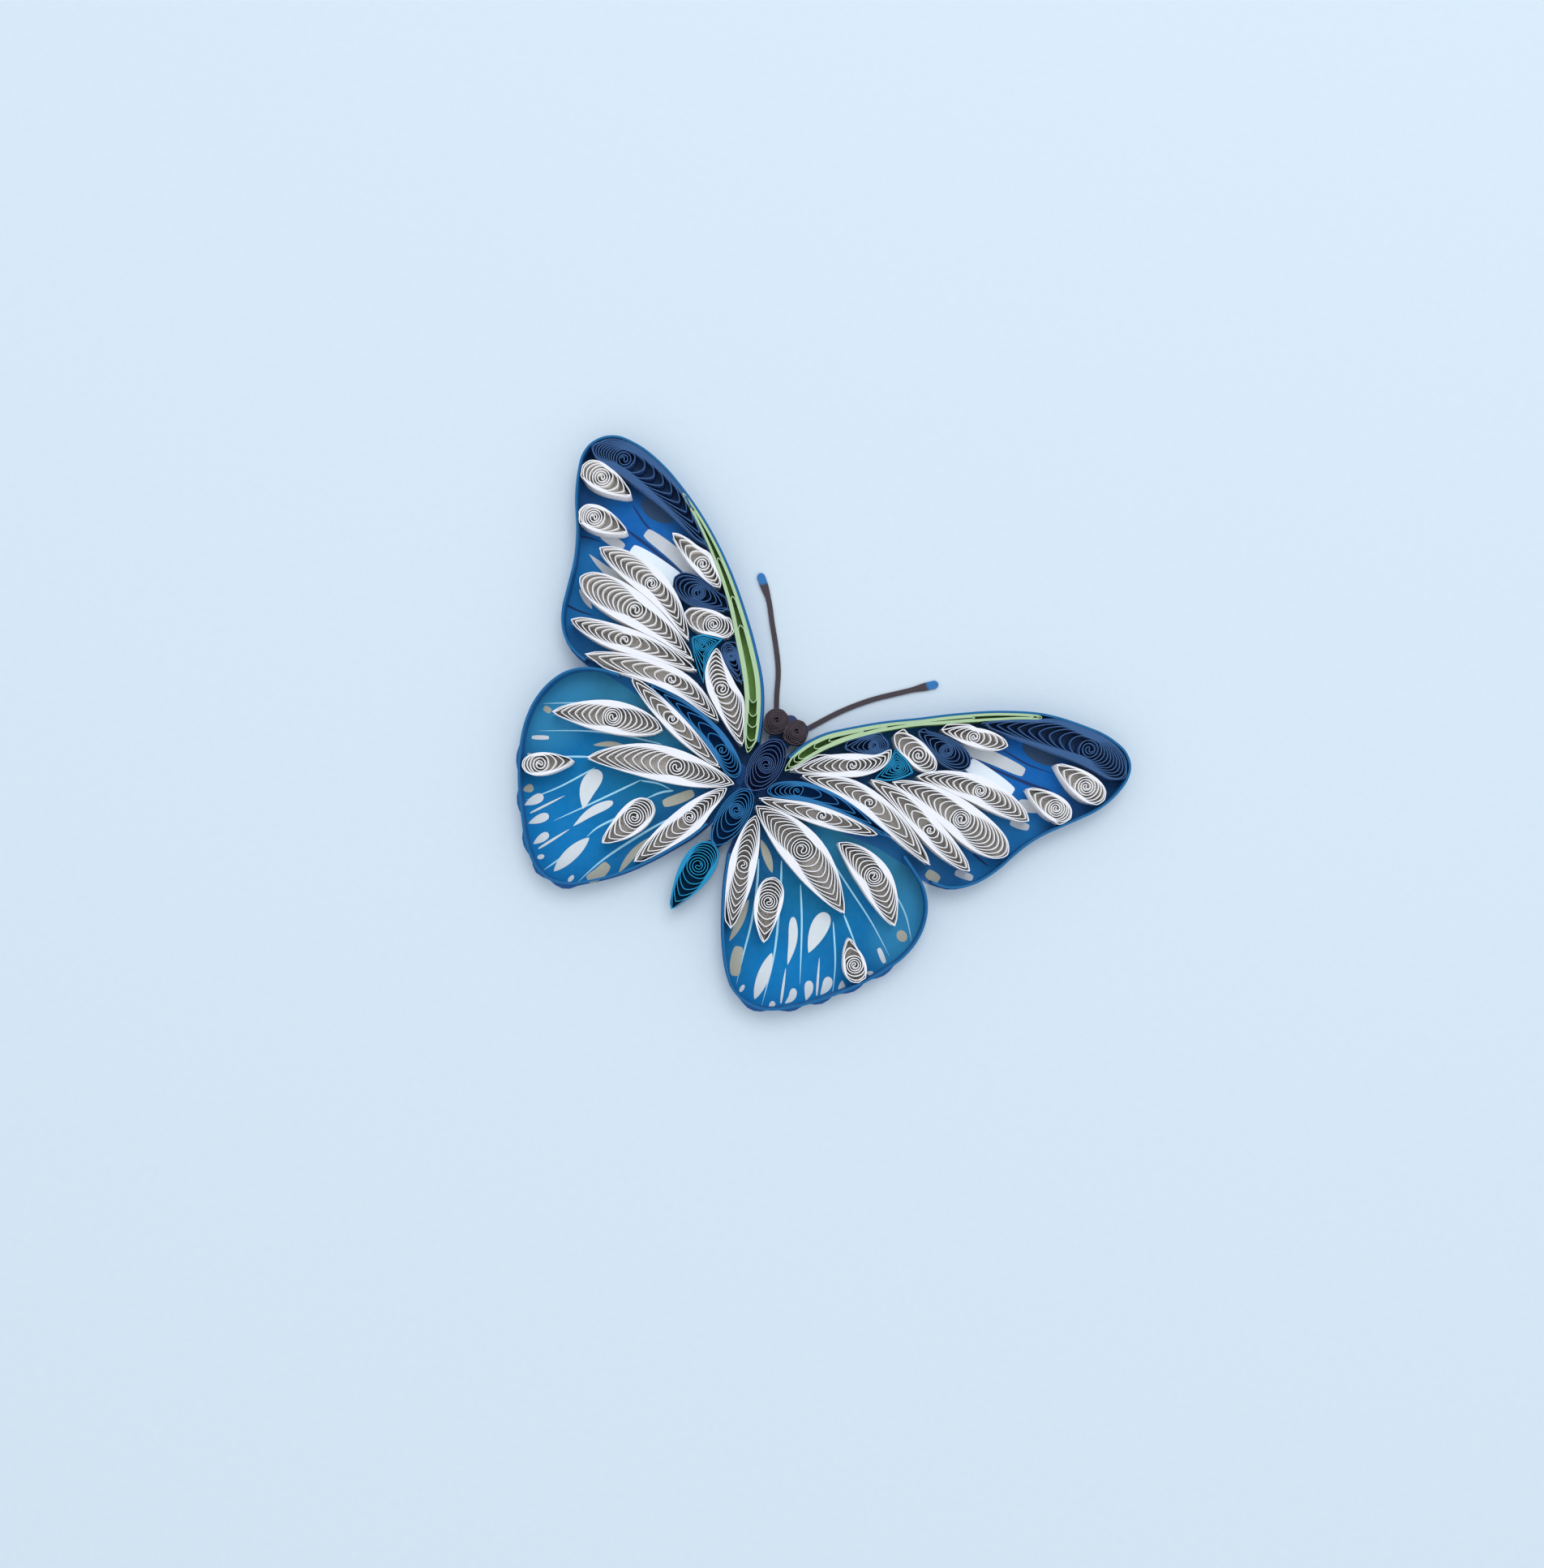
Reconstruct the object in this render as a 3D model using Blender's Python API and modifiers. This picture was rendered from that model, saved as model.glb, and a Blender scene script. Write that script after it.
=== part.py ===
"""Quilled paper butterfly.

Narrow strips of paper are rolled into coils, pinched into teardrops, leaves, ovals and triangles, and stood
on edge on a printed card that is cut to the butterfly's outline. A blue strip stands round each wing as
its rim.

Metres, +Z up. The origin is on the underside of the card, below the thorax. +Y runs along the body towards
the head and +X towards the right wing. The plan is drawn on a work grid, and its numbers count grid squares.
"""

import math
from collections import namedtuple

import bmesh
import bpy
import numpy as np

# Driving dimensions, in metres
GRID = 0.001  # one square of the work grid
CARD_THICKNESS = 0.00035  # printed card
CARD_MARGIN = 0.0002  # card that shows outside a rim
SCALLOP_DEPTH = 0.0006  # how far a scallop of the hindwing stands out past the rim
SEAT = 0.0003  # glue line between the card and what stands on it
STRIP_HEIGHT = 0.003  # width of a quilling strip, which is its height on edge
COIL_LAYER = 0.0002  # thickness of one turn of a coil
RIM_LAYER = 0.00035  # thickness of a rim, two strips glued together
ANTENNA_WIDTH = 0.00075
ANTENNA_CLUB = 0.0012  # width of an antenna at its tip
CLUB_FROM = 0.8  # share of an antenna's length where it begins to widen
CLUB_SLOPE = 0.12  # share over which it widens
ROUND_FROM = 0.97  # share where its tip begins to round off

# How finely the plan's curves are stepped
CURVE_STEPS = 24  # from one of the plan's points to the next
SPINE_STEPS = 60
RIM_STEPS = 40
CARD_STEPS = 66  # the card's edge round a wing
ANTENNA_STEPS = 30
LEAF_STEPS = 24
WELD = GRID / 1000  # points nearer than this are one
FLAT_ANGLE = math.radians(1)  # faces of the card that meet flatter than this are one

# How a coil is rolled
COIL_TURNS = 3
TURN_STEPS = (12, 8, 6)  # straight steps in the first, second and third turn
STEP_LENGTH = 0.007  # for each such length a coil has two more steps in its first turn and one in its second
TRIANGLE_STEPS = (15, 9, 6)
NARROW_COIL = 0.0033  # a coil slimmer than this has one turn less
SLIM_COIL = 0.0016  # and one slimmer than this is a single loop
TUCK = 0.22  # share of its size that a coil loses at the tail, where the first turn slips inside itself
TUCK_FROM = 0.88  # where in the first turn it begins to slip inside
SLIM_TUCK = 0.5  # the same for a single loop, which stops a little short of a whole turn
SLIM_TUCK_FROM = 0.8
SLIM_TURNS = 0.92
TRIANGLE_TUCK = 0.32
TUCK_LENGTH = 0.00036  # the least that the strip moves in at the tail
EYE_SHARE = 0.2  # radius of the coil's eye, as a share of its half width

# Ends of a coil, as powers of its width towards the tail and towards the head: 0.5 is round and 1 is pinched
TEARDROP = (1.0, 0.5)
LEAF = (1.0, 0.8)
MARQUISE = (1.0, 1.0)
OVAL = (0.55, 0.55)
TONGUE = (1.0, 0.35)
LONG_TEARDROP = (1.2, 0.4)
ROUND = (0.5, 0.5)

# A coil runs along its spine from tail to head. Its eye sits at a share of the spine's length.
Coil = namedtuple("Coil", "name paper spine width ends eye")
# A triangular coil is pinched at three corners. Its sides bow out, or in where the bow is negative.
Triangle = namedtuple("Triangle", "name paper corners bows")

COILS = [
    Coil("left_forewing_navy_tip", "navy", [(-24.8, 22.8), (-31.0, 25.7), (-38.3, 27.6), (-45.1, 27.3)],
         3.9, TEARDROP, 0.76),
    Coil("left_forewing_margin_upper", "white", [(-37.4, 23.8), (-45.4, 23.9)], 3.4, TEARDROP, 0.62),
    Coil("left_forewing_margin_lower", "white", [(-35.2, 18.9), (-42.2, 18.0)], 3.0, TEARDROP, 0.72),
    Coil("left_forewing_white_costal", "white",
         [(-29.0, 22.3), (-24.0, 21.1), (-19.2, 19.3)], 2.4, LEAF, 0.55),
    Coil("left_forewing_navy_oval", "navy", [(-16.3, 17.1), (-19.2, 17.0), (-22.4, 16.8), (-25.3, 17.0)],
         3.6, TEARDROP, 0.56),
    Coil("left_forewing_white_oval", "white", [(-21.3, 13.3), (-14.1, 14.6)], 3.2, OVAL, 0.54),
    Coil("left_forewing_navy_teardrop", "navy", [(-9.1, 8.9), (-13.9, 12.7)], 2.3, TEARDROP, 0.68),
    Coil("left_forewing_white_root", "white",
         [(-4.3, 1.3), (-7.0, 3.8), (-9.8, 5.9), (-12.6, 7.8), (-14.8, 11.2)],
         3.6, LEAF, 0.59),
    Coil("left_forewing_white_upper", "white", [(-19.1, 10.3), (-24.4, 13.4), (-30.0, 14.8), (-37.0, 14.9)],
         3.7, LEAF, 0.5),
    Coil("left_forewing_white_largest", "white", [(-16.9, 8.1), (-22.0, 9.4), (-28.0, 9.9), (-37.0, 9.7)],
         4.6, TEARDROP, 0.54),
    Coil("left_forewing_white_lower", "white", [(-15.8, 7.0), (-22.5, 6.4), (-28.0, 5.0), (-35.0, 3.8)],
         3.1, LEAF, 0.53),
    Coil("left_forewing_white_long", "white", [(-30.5, 0.6), (-24.0, 2.7), (-17.0, 4.2), (-9.0, 2.5)],
         3.1, MARQUISE, 0.56),
    Coil("left_forewing_green_costal", "green",
         [(-29.5, 26.9), (-22.4, 23.1), (-16.0, 18.1), (-12.6, 14.9), (-6.3, 7.4), (-3.2, 1.0)],
         1.5, TONGUE, 0.5),
    Coil("left_hindwing_blue_marquise", "blue",
         [(-20.6, 1.7), (-15.2, 1.4), (-10.6, 0.6), (-7.1, -0.4), (-2.6, -3.0)],
         2.7, LONG_TEARDROP, 0.78),
    Coil("left_hindwing_white_upper", "white", [(-5.4, -3.2), (-14.0, -1.1), (-23.2, 1.2)],
         2.4, MARQUISE, 0.48),
    Coil("left_hindwing_white_oval", "white", [(-30.1, -9.0), (-22.6, -5.2), (-15.5, -2.9)], 4.2, LEAF, 0.52),
    Coil("left_hindwing_white_big", "white", [(-22.3, -12.0), (-14.0, -7.5), (-8.0, -5.8), (-2.3, -4.2)],
         4.6, MARQUISE, 0.6),
    Coil("left_hindwing_inner_edge", "white",
         [(-8.6, -21.2), (-7.2, -17.5), (-5.9, -13.8), (-4.1, -8.4), (-2.8, -5.3)],
         3.2, MARQUISE, 0.6),
    Coil("left_hindwing_inner_teardrop", "white", [(-14.0, -21.3), (-12.4, -17.2), (-11.3, -12.8)],
         3.7, TEARDROP, 0.66),
    Coil("left_hindwing_rim_teardrop", "white", [(-24.2, -13.8), (-29.6, -17.9)], 2.6, TEARDROP, 0.66),

    Coil("right_forewing_navy_tip", "navy", [(25.2, 22.6), (30.5, 24.9), (38.0, 27.0), (45.2, 27.2)],
         4.1, TEARDROP, 0.68),
    Coil("right_forewing_margin_upper", "white", [(36.5, 22.9), (44.7, 22.1)], 3.3, TEARDROP, 0.62),
    Coil("right_forewing_margin_lower", "white", [(34.9, 17.7), (41.8, 17.2)], 2.9, TEARDROP, 0.68),
    Coil("right_forewing_white_costal", "white", [(19.5, 18.5), (24.1, 20.1), (28.7, 21.5)], 2.4, LEAF, 0.46),
    Coil("right_forewing_navy_oval", "navy", [(16.8, 16.5), (19.9, 16.3), (22.5, 16.1), (25.4, 16.0)],
         3.3, TEARDROP, 0.54),
    Coil("right_forewing_white_oval", "white", [(14.1, 14.3), (21.5, 12.9)], 3.0, OVAL, 0.54),
    Coil("right_forewing_navy_teardrop", "navy", [(8.9, 9.0), (13.8, 12.3)], 2.3, TEARDROP, 0.68),
    Coil("right_forewing_white_root", "white",
         [(3.8, 1.9), (8.0, 5.3), (12.0, 7.8), (14.0, 9.5), (14.6, 11.9)],
         2.9, LEAF, 0.55),
    Coil("right_forewing_white_upper", "white", [(20.0, 10.8), (23.5, 12.4), (29.0, 13.8), (37.0, 13.8)],
         3.5, LEAF, 0.52),
    Coil("right_forewing_white_largest", "white", [(17.4, 8.2), (23.0, 9.3), (30.0, 8.6), (36.8, 7.9)],
         4.8, TEARDROP, 0.58),
    Coil("right_forewing_white_lower", "white", [(14.6, 6.8), (20.0, 6.6), (27.0, 4.6), (33.4, 3.0)],
         3.0, LEAF, 0.54),
    Coil("right_forewing_white_long", "white", [(28.0, 0.8), (20.5, 3.1), (13.5, 4.0), (5.5, 2.1)],
         3.1, MARQUISE, 0.54),
    Coil("right_forewing_green_costal", "green",
         [(29.0, 26.4), (20.9, 20.8), (16.0, 17.1), (12.4, 14.0), (5.6, 7.4), (3.1, 2.2)],
         1.2, TONGUE, 0.5),
    Coil("right_hindwing_blue_marquise", "blue",
         [(21.0, 1.1), (16.0, 1.4), (11.5, 1.2), (8.0, 0.6), (2.6, -2.4)],
         2.4, LONG_TEARDROP, 0.8),
    Coil("right_hindwing_white_upper", "white", [(2.1, -4.0), (10.0, -1.7), (19.4, 0.5)],
         2.3, MARQUISE, 0.47),
    Coil("right_hindwing_white_oval", "white",
         [(28.3, -9.4), (21.5, -4.7), (15.3, -3.4)], 4.3, MARQUISE, 0.5),
    Coil("right_hindwing_white_big", "white", [(21.1, -11.7), (16.0, -9.1), (11.0, -7.0), (2.2, -5.2)],
         5.4, MARQUISE, 0.52),
    Coil("right_hindwing_inner_edge", "white", [(8.3, -22.1), (6.3, -16.8), (4.3, -11.4), (2.9, -6.6)],
         3.3, LEAF, 0.55),
    Coil("right_hindwing_inner_teardrop", "white", [(13.4, -21.3), (11.4, -17.2), (10.0, -12.9)],
         3.5, TEARDROP, 0.62),
    Coil("right_hindwing_rim_teardrop", "white", [(23.9, -14.7), (28.0, -19.1)], 2.7, TEARDROP, 0.6),

    Coil("thorax", "indigo", [(0.3, -3.5), (0.2, 4.6)], 4.3, ROUND, 0.5),
    Coil("abdomen", "blue", [(0.0, -13.0), (0.1, -3.9)], 3.7, ROUND, 0.62),
    Coil("tail", "teal", [(-0.5, -24.1), (-0.4, -13.4)], 4.0, TEARDROP, 0.66),
    Coil("left_head_coil", "plum", [(-1.85, 5.1), (-1.75, 8.5)], 3.0, ROUND, 0.5),
    Coil("right_head_coil", "plum", [(1.55, 5.2), (1.55, 8.6)], 2.9, ROUND, 0.5),
]

TRIANGLES = [
    Triangle("left_forewing_teal_triangle", "teal", [(-15.3, 12.8), (-18.6, 10.6), (-15.0, 6.8)],
             (0.1, 0.02, 0.0)),
    Triangle("right_forewing_teal_triangle", "teal", [(15.5, 12.4), (15.4, 7.6), (18.8, 10.9)],
             (0.0, 0.03, 0.1)),
]

# A rim's outer face, drawn from the root of the wing round to its other end. The card runs on from there
# across the root, between two distances along the body.
Rim = namedtuple("Rim", "name line turns_left root scallops")
FOREWING_ROOT = (-1.0, 2.0)
HINDWING_ROOT = (-4.0, 1.0)
ROOT_SIDE = 0.8  # how far from the body's middle the card of a wing goes
RIMS = [
    Rim("left_forewing_rim",
        [(-2.3, 2.9), (-3.5, 5.6), (-6.2, 10.2), (-10.0, 14.4), (-14.6, 18.6), (-19.8, 22.7), (-25.9, 26.4),
         (-31.0, 28.7), (-36.0, 30.3), (-40.3, 30.8), (-43.8, 30.2), (-46.0, 28.2), (-46.6, 25.9),
         (-45.8, 22.8), (-44.0, 19.2), (-41.2, 15.0), (-39.3, 11.2), (-38.0, 7.2), (-36.8, 3.9),
         (-34.9, 1.3), (-32.4, 0.0), (-30.2, -0.4)],
        True, FOREWING_ROOT, []),
    Rim("left_hindwing_rim",
        [(-24.9, 0.7), (-27.5, 0.0), (-30.0, -1.3), (-31.9, -3.3), (-33.0, -5.9), (-33.4, -9.0),
         (-32.8, -12.9), (-31.2, -16.8), (-28.9, -20.7), (-26.3, -24.1), (-23.4, -27.4), (-20.7, -29.4),
         (-17.9, -30.1), (-15.2, -29.3), (-12.4, -27.1), (-9.2, -23.7), (-6.4, -19.6), (-4.7, -16.6),
         (-3.3, -13.9), (-2.4, -11.2)],
        True, HINDWING_ROOT, [(0.3, 0.38), (0.4, 0.47), (0.49, 0.56), (0.565, 0.615), (0.625, 0.685)]),
    Rim("right_forewing_rim",
        [(2.4, 3.3), (3.0, 5.3), (3.9, 7.2), (5.1, 9.0), (7.9, 11.8), (11.5, 15.0), (15.4, 18.0),
         (19.8, 21.5), (25.7, 25.6),
         (31.1, 28.4), (36.3, 29.8), (41.0, 30.4), (44.3, 29.7), (46.1, 27.8), (46.3, 25.2),
         (45.2, 20.9), (42.5, 16.6), (39.7, 12.4), (38.3, 9.3), (37.4, 6.3), (36.3, 3.6),
         (34.5, 0.9), (32.3, -0.8), (29.7, -1.4)],
        False, FOREWING_ROOT, []),
    Rim("right_hindwing_rim",
        [(24.4, 0.0), (26.6, -1.0), (28.7, -2.1), (30.6, -3.9), (31.9, -6.4), (32.4, -9.3), (32.0, -12.5),
         (30.6, -15.9), (28.9, -19.0), (26.9, -21.8), (24.6, -24.7), (21.8, -27.5), (18.8, -29.7),
         (15.9, -30.3), (13.2, -29.7), (11.3, -28.2), (8.7, -25.1), (6.3, -21.4), (4.2, -17.6),
         (2.3, -13.2)],
        False, HINDWING_ROOT, [(0.28, 0.35), (0.36, 0.43), (0.44, 0.5), (0.51, 0.57), (0.59, 0.66)]),
]

# The card under the body, as leaves of a spine, a width and two ends, and the two antennae cut with it
BODY_CARD = [
    ([(-0.5, -24.4), (-0.4, -12.8)], 3.8, TEARDROP),
    ([(0.0, -14.0), (0.2, 5.0)], 4.0, OVAL),
    ([(-3.4, 6.6), (3.3, 6.8)], 3.9, OVAL),
    ([(0.0, 3.0), (0.0, 9.1)], 3.6, ROUND),
]
ANTENNAE = [
    [(-2.2, 7.6), (-3.8, 10.3), (-5.5, 13.5), (-8.1, 16.9), (-10.1, 19.2), (-12.2, 21.7), (-15.5, 24.5)],
    [(2.2, 7.8), (3.8, 10.6), (5.2, 12.9), (8.3, 17.0), (11.6, 20.4), (13.6, 22.4), (15.6, 24.4)],
]

PAPERS = {
    "white": ((0.83, 0.84, 0.87), 0.62),
    "navy": ((0.015, 0.045, 0.17), 0.6),
    "indigo": ((0.02, 0.035, 0.13), 0.6),
    "blue": ((0.005, 0.09, 0.3), 0.58),
    "teal": ((0.01, 0.2, 0.42), 0.58),
    "green": ((0.42, 0.56, 0.3), 0.6),
    "plum": ((0.06, 0.045, 0.06), 0.62),
    "rim_blue": ((0.01, 0.12, 0.36), 0.58),
    "printed_card": ((0.02, 0.21, 0.5), 0.5),
}


def clear_scene():
    for old in list(bpy.data.objects):
        bpy.data.objects.remove(old)


def paper_material(paper):
    """The Principled material of one paper, made once."""
    if paper in bpy.data.materials:
        return bpy.data.materials[paper]
    colour, roughness = PAPERS[paper]
    material = bpy.data.materials.new(paper)
    material.use_nodes = True
    shader = material.node_tree.nodes["Principled BSDF"]
    shader.inputs["Base Color"].default_value = (*colour, 1.0)
    shader.inputs["Roughness"].default_value = roughness
    shader.inputs["Metallic"].default_value = 0.0
    return material


def smooth_line(points, steps):
    """Even steps along one smooth curve through the plan's points, in metres."""
    points = np.array(points) * GRID
    chords = np.diff(points, axis=0)
    lengths = np.linalg.norm(chords, axis=1)[:, None]
    slopes = chords / lengths
    tangents = np.vstack([slopes[:1], slopes[1:] * lengths[:-1] + slopes[:-1] * lengths[1:], slopes[-1:]])
    tangents[1:-1] /= lengths[:-1] + lengths[1:]
    dense = []
    for start, end, leave, arrive, length in zip(points, points[1:], tangents, tangents[1:], lengths):
        for t in np.linspace(0, 1, CURVE_STEPS, endpoint=False):
            ease = t * t * (3 - 2 * t)
            bulge = t * (1 - t) ** 2 * leave - t * t * (1 - t) * arrive
            dense.append(start + (end - start) * ease + bulge * length)
    dense = np.array([*dense, points[-1]])
    run = np.concatenate([[0.0], np.cumsum(np.linalg.norm(np.diff(dense, axis=0), axis=1))])
    at = np.linspace(0, run[-1], steps + 1)
    return np.column_stack([np.interp(at, run, dense[:, axis]) for axis in (0, 1)])


def left_of(line):
    """The unit vectors that point to the left of each point of a line."""
    ahead = np.gradient(line, axis=0)
    ahead /= np.linalg.norm(ahead, axis=1)[:, None]
    return np.column_stack([-ahead[:, 1], ahead[:, 0]])


class Spine:
    """A coil's middle line. Distances from the tail and to the left give a place in the plan."""

    def __init__(self, points):
        self.line = smooth_line(points, SPINE_STEPS)
        self.left = left_of(self.line)
        self.run = np.linspace(0, np.linalg.norm(np.diff(self.line, axis=0), axis=1).sum(), len(self.line))
        self.length = self.run[-1]

    def place(self, along, aside):
        spot = np.array([np.interp(along, self.run, self.line[:, axis]) for axis in (0, 1)])
        left = np.array([np.interp(along, self.run, self.left[:, axis]) for axis in (0, 1)])
        return spot + left * aside


def leaf_width(share, ends):
    """Width of a leaf at a share of its length, where 1 is its widest."""
    tail, head = ends
    widest = tail / (tail + head)
    peak = widest ** tail * (1 - widest) ** head
    return share ** tail * (1 - share) ** head / peak


def leaf_edge(turn, length, width, ends):
    """Distance along the spine and to its left, for a turn round the leaf's edge that starts at the tail."""
    angle = 2 * math.pi * turn
    share = min(max((1 - math.cos(angle)) / 2, 0.0), 1.0)
    side = math.copysign(1.0, math.sin(angle)) if 0 < share < 1 else 0.0
    return np.array([share * length, side * leaf_width(share, ends) * width / 2])


def rolled_sizes(turns, turn_steps, tuck, tuck_from):
    """Each step's place, in turns, and the share of full size there: 1 on the first turn, 0 at the eye."""
    at = [whole + step / steps for whole, steps in enumerate(turn_steps) for step in range(steps)]
    at = [turn for turn in at if turn < turns] + [turns]
    sizes = []
    for turn in at:
        if turn <= tuck_from:
            sizes.append(1.0)
        elif turn <= 1:
            sizes.append(1 - tuck * (turn - tuck_from) / (1 - tuck_from))
        else:
            sizes.append((1 - tuck) * (turns - turn) / (turns - 1))
    return zip(at, sizes)


def coil_path(coil):
    """The rolled strip's middle line, from its glued end at the tail in to the eye."""
    width = coil.width * GRID - COIL_LAYER
    spine = Spine(coil.spine)
    length = spine.length - COIL_LAYER
    eye = np.array([coil.eye * length, 0.0])
    eye_radius = EYE_SHARE * width / 2
    turns, tuck, tuck_from = COIL_TURNS, TUCK, TUCK_FROM
    if coil.width * GRID < NARROW_COIL:
        turns = COIL_TURNS - 1
    if coil.width * GRID < SLIM_COIL:
        turns, tuck, tuck_from = SLIM_TURNS, SLIM_TUCK, SLIM_TUCK_FROM
    tuck = max(tuck, TUCK_LENGTH / eye[0])
    extra = int(length / STEP_LENGTH)
    first, second, third = TURN_STEPS
    turn_steps = (first + 2 * extra, second + extra, third)
    path = []
    for turn, size in rolled_sizes(turns, turn_steps, tuck, tuck_from):
        angle = math.pi - 2 * math.pi * turn
        rolled = eye_radius * np.array([math.cos(angle), math.sin(angle)])
        offset = size * (leaf_edge(turn, length, width, coil.ends) - eye) + (1 - size) * rolled
        along, aside = eye + offset
        path.append(spine.place(along + COIL_LAYER / 2, aside))
    return path


def triangle_path(triangle):
    """The rolled strip's middle line in a coil that is pinched at three corners."""
    corners = np.array(triangle.corners) * GRID
    eye = corners.mean(axis=0)
    corners = eye + (corners - eye) * (1 - COIL_LAYER / np.linalg.norm(corners - eye, axis=1)[:, None])
    eye_radius = EYE_SHARE * np.linalg.norm(corners - eye, axis=1).min() / 2
    start = math.atan2(*(corners[0] - eye)[::-1])
    path = []
    for turn, size in rolled_sizes(COIL_TURNS, TRIANGLE_STEPS, TRIANGLE_TUCK, TUCK_FROM):
        side, share = divmod((turn % 1) * 3, 1)
        here, there = corners[int(side)], corners[(int(side) + 1) % 3]
        across = there - here
        out = np.array([across[1], -across[0]])
        edge = here + across * share + out * triangle.bows[int(side)] * 4 * share * (1 - share)
        angle = start + 2 * math.pi * turn
        rolled = eye_radius * np.array([math.cos(angle), math.sin(angle)])
        path.append(eye + size * (edge - eye) + (1 - size) * rolled)
    return path


def place_on_card(part, height):
    """Stands a part with its middle line at half its height above the glue line."""
    part.location.z = CARD_THICKNESS + SEAT + height / 2


def standing_strip(name, paper, path, layer, grow, collection):
    """A strip on edge along a path: an extruded curve, thickened by Solidify. grow is 0 for both ways."""
    curve = bpy.data.curves.new(name, "CURVE")
    curve.dimensions = "3D"
    curve.extrude = STRIP_HEIGHT / 2
    spline = curve.splines.new("POLY")
    spline.points.add(len(path) - 1)
    for point, (x, y) in zip(spline.points, path):
        point.co = (x, y, 0.0, 1.0)
    strip = bpy.data.objects.new(name, curve)
    collection.objects.link(strip)
    place_on_card(strip, STRIP_HEIGHT)
    thicken = strip.modifiers.new("Paper thickness", "SOLIDIFY")
    thicken.thickness = layer
    thicken.offset = grow
    curve.materials.append(paper_material(paper))
    return strip


def flat_sheet(name, outline, collection):
    """A sheet of card with this outline: a filled 2D curve, extruded and welded into one closed mesh."""
    curve = bpy.data.curves.new(name, "CURVE")
    curve.dimensions = "2D"
    curve.fill_mode = "BOTH"
    curve.extrude = CARD_THICKNESS / 2
    spline = curve.splines.new("POLY")
    spline.points.add(len(outline) - 1)
    for point, (x, y) in zip(spline.points, outline):
        point.co = (x, y, 0.0, 1.0)
    spline.use_cyclic_u = True
    drawn = bpy.data.objects.new(name + "_drawn", curve)
    collection.objects.link(drawn)
    bpy.context.view_layer.update()
    mesh = bpy.data.meshes.new_from_object(drawn.evaluated_get(bpy.context.evaluated_depsgraph_get()))
    bpy.data.objects.remove(drawn)
    weld(mesh)
    sheet = bpy.data.objects.new(name, mesh)
    sheet.location.z = CARD_THICKNESS / 2
    collection.objects.link(sheet)
    return sheet


def weld(mesh):
    solid = bmesh.new()
    solid.from_mesh(mesh)
    bmesh.ops.remove_doubles(solid, verts=solid.verts, dist=WELD)
    solid.to_mesh(mesh)
    solid.free()


def wing_outline(rim):
    """The card's edge round one wing: a margin outside the rim, with scallops, closed across the root."""
    line = smooth_line(rim.line, CARD_STEPS)
    outward = -left_of(line) if rim.turns_left else left_of(line)
    margin = np.full(len(line), CARD_MARGIN)
    share = np.linspace(0, 1, len(line))
    for start, end in rim.scallops:
        bump = np.clip((share - start) / (end - start), 0, 1)
        margin += SCALLOP_DEPTH * np.sin(math.pi * bump)
    edge = line + outward * margin[:, None]
    side = -ROOT_SIDE if rim.turns_left else ROOT_SIDE
    root = np.array([(side, along) for along in rim.root]) * GRID
    return [*edge, *root]


def leaf_outline(spine_points, width, ends):
    spine = Spine(spine_points)
    turns = np.linspace(0, 1, LEAF_STEPS, endpoint=False)
    return [spine.place(*leaf_edge(turn, spine.length, width * GRID, ends)) for turn in turns]


def antenna_outline(points):
    """A stem that widens into a rounded club over its last fifth. Its steps grow shorter towards the tip."""
    spine = Spine(points)
    shares = np.sin(np.linspace(0, math.pi / 2, ANTENNA_STEPS))
    swell = np.clip((shares - CLUB_FROM) / CLUB_SLOPE, 0, 1)
    tip = np.sqrt(1 - np.clip((shares - ROUND_FROM) / (1 - ROUND_FROM), 0, 1) ** 2)
    half = (ANTENNA_WIDTH + (ANTENNA_CLUB - ANTENNA_WIDTH) * swell * swell * (3 - 2 * swell)) * tip / 2
    edges = [[spine.place(share * spine.length, side * aside) for share, aside in zip(shares, half)]
             for side in (1, -1)]
    return [*edges[0], *edges[1][-2::-1]]


def printed_base(parts, cutters):
    """The printed card, cut in one piece: four wings, the body and two antennae."""
    outlines = [wing_outline(rim) for rim in RIMS]
    outlines += [leaf_outline(*leaf) for leaf in BODY_CARD]
    outlines += [antenna_outline(points) for points in ANTENNAE]
    base = flat_sheet("printed_base", outlines[0], parts)
    base.data.materials.append(paper_material("printed_card"))
    for number, outline in enumerate(outlines[1:], 1):
        field = flat_sheet(f"card_field_{number}", outline, cutters)
        field.hide_render = True
        field.display_type = "WIRE"
    join = base.modifiers.new("One card", "BOOLEAN")
    join.operation = "UNION"
    join.operand_type = "COLLECTION"
    join.collection = cutters
    join.solver = "EXACT"
    plain = base.modifiers.new("Plain faces", "DECIMATE")
    plain.decimate_type = "DISSOLVE"
    plain.angle_limit = FLAT_ANGLE
    return base


def build():
    clear_scene()
    parts = bpy.data.collections.new("quilled_paper_butterfly")
    cutters = bpy.data.collections.new("card_fields")
    bpy.context.scene.collection.children.link(parts)
    bpy.context.scene.collection.children.link(cutters)
    printed_base(parts, cutters)
    for rim in RIMS:
        path = smooth_line(rim.line, RIM_STEPS)
        standing_strip(rim.name, "rim_blue", path, RIM_LAYER, 1 if rim.turns_left else -1, parts)
    for coil in COILS:
        standing_strip(coil.name, coil.paper, coil_path(coil), COIL_LAYER, 0, parts)
    for triangle in TRIANGLES:
        standing_strip(triangle.name, triangle.paper, triangle_path(triangle), COIL_LAYER, 0, parts)


build()
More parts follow.
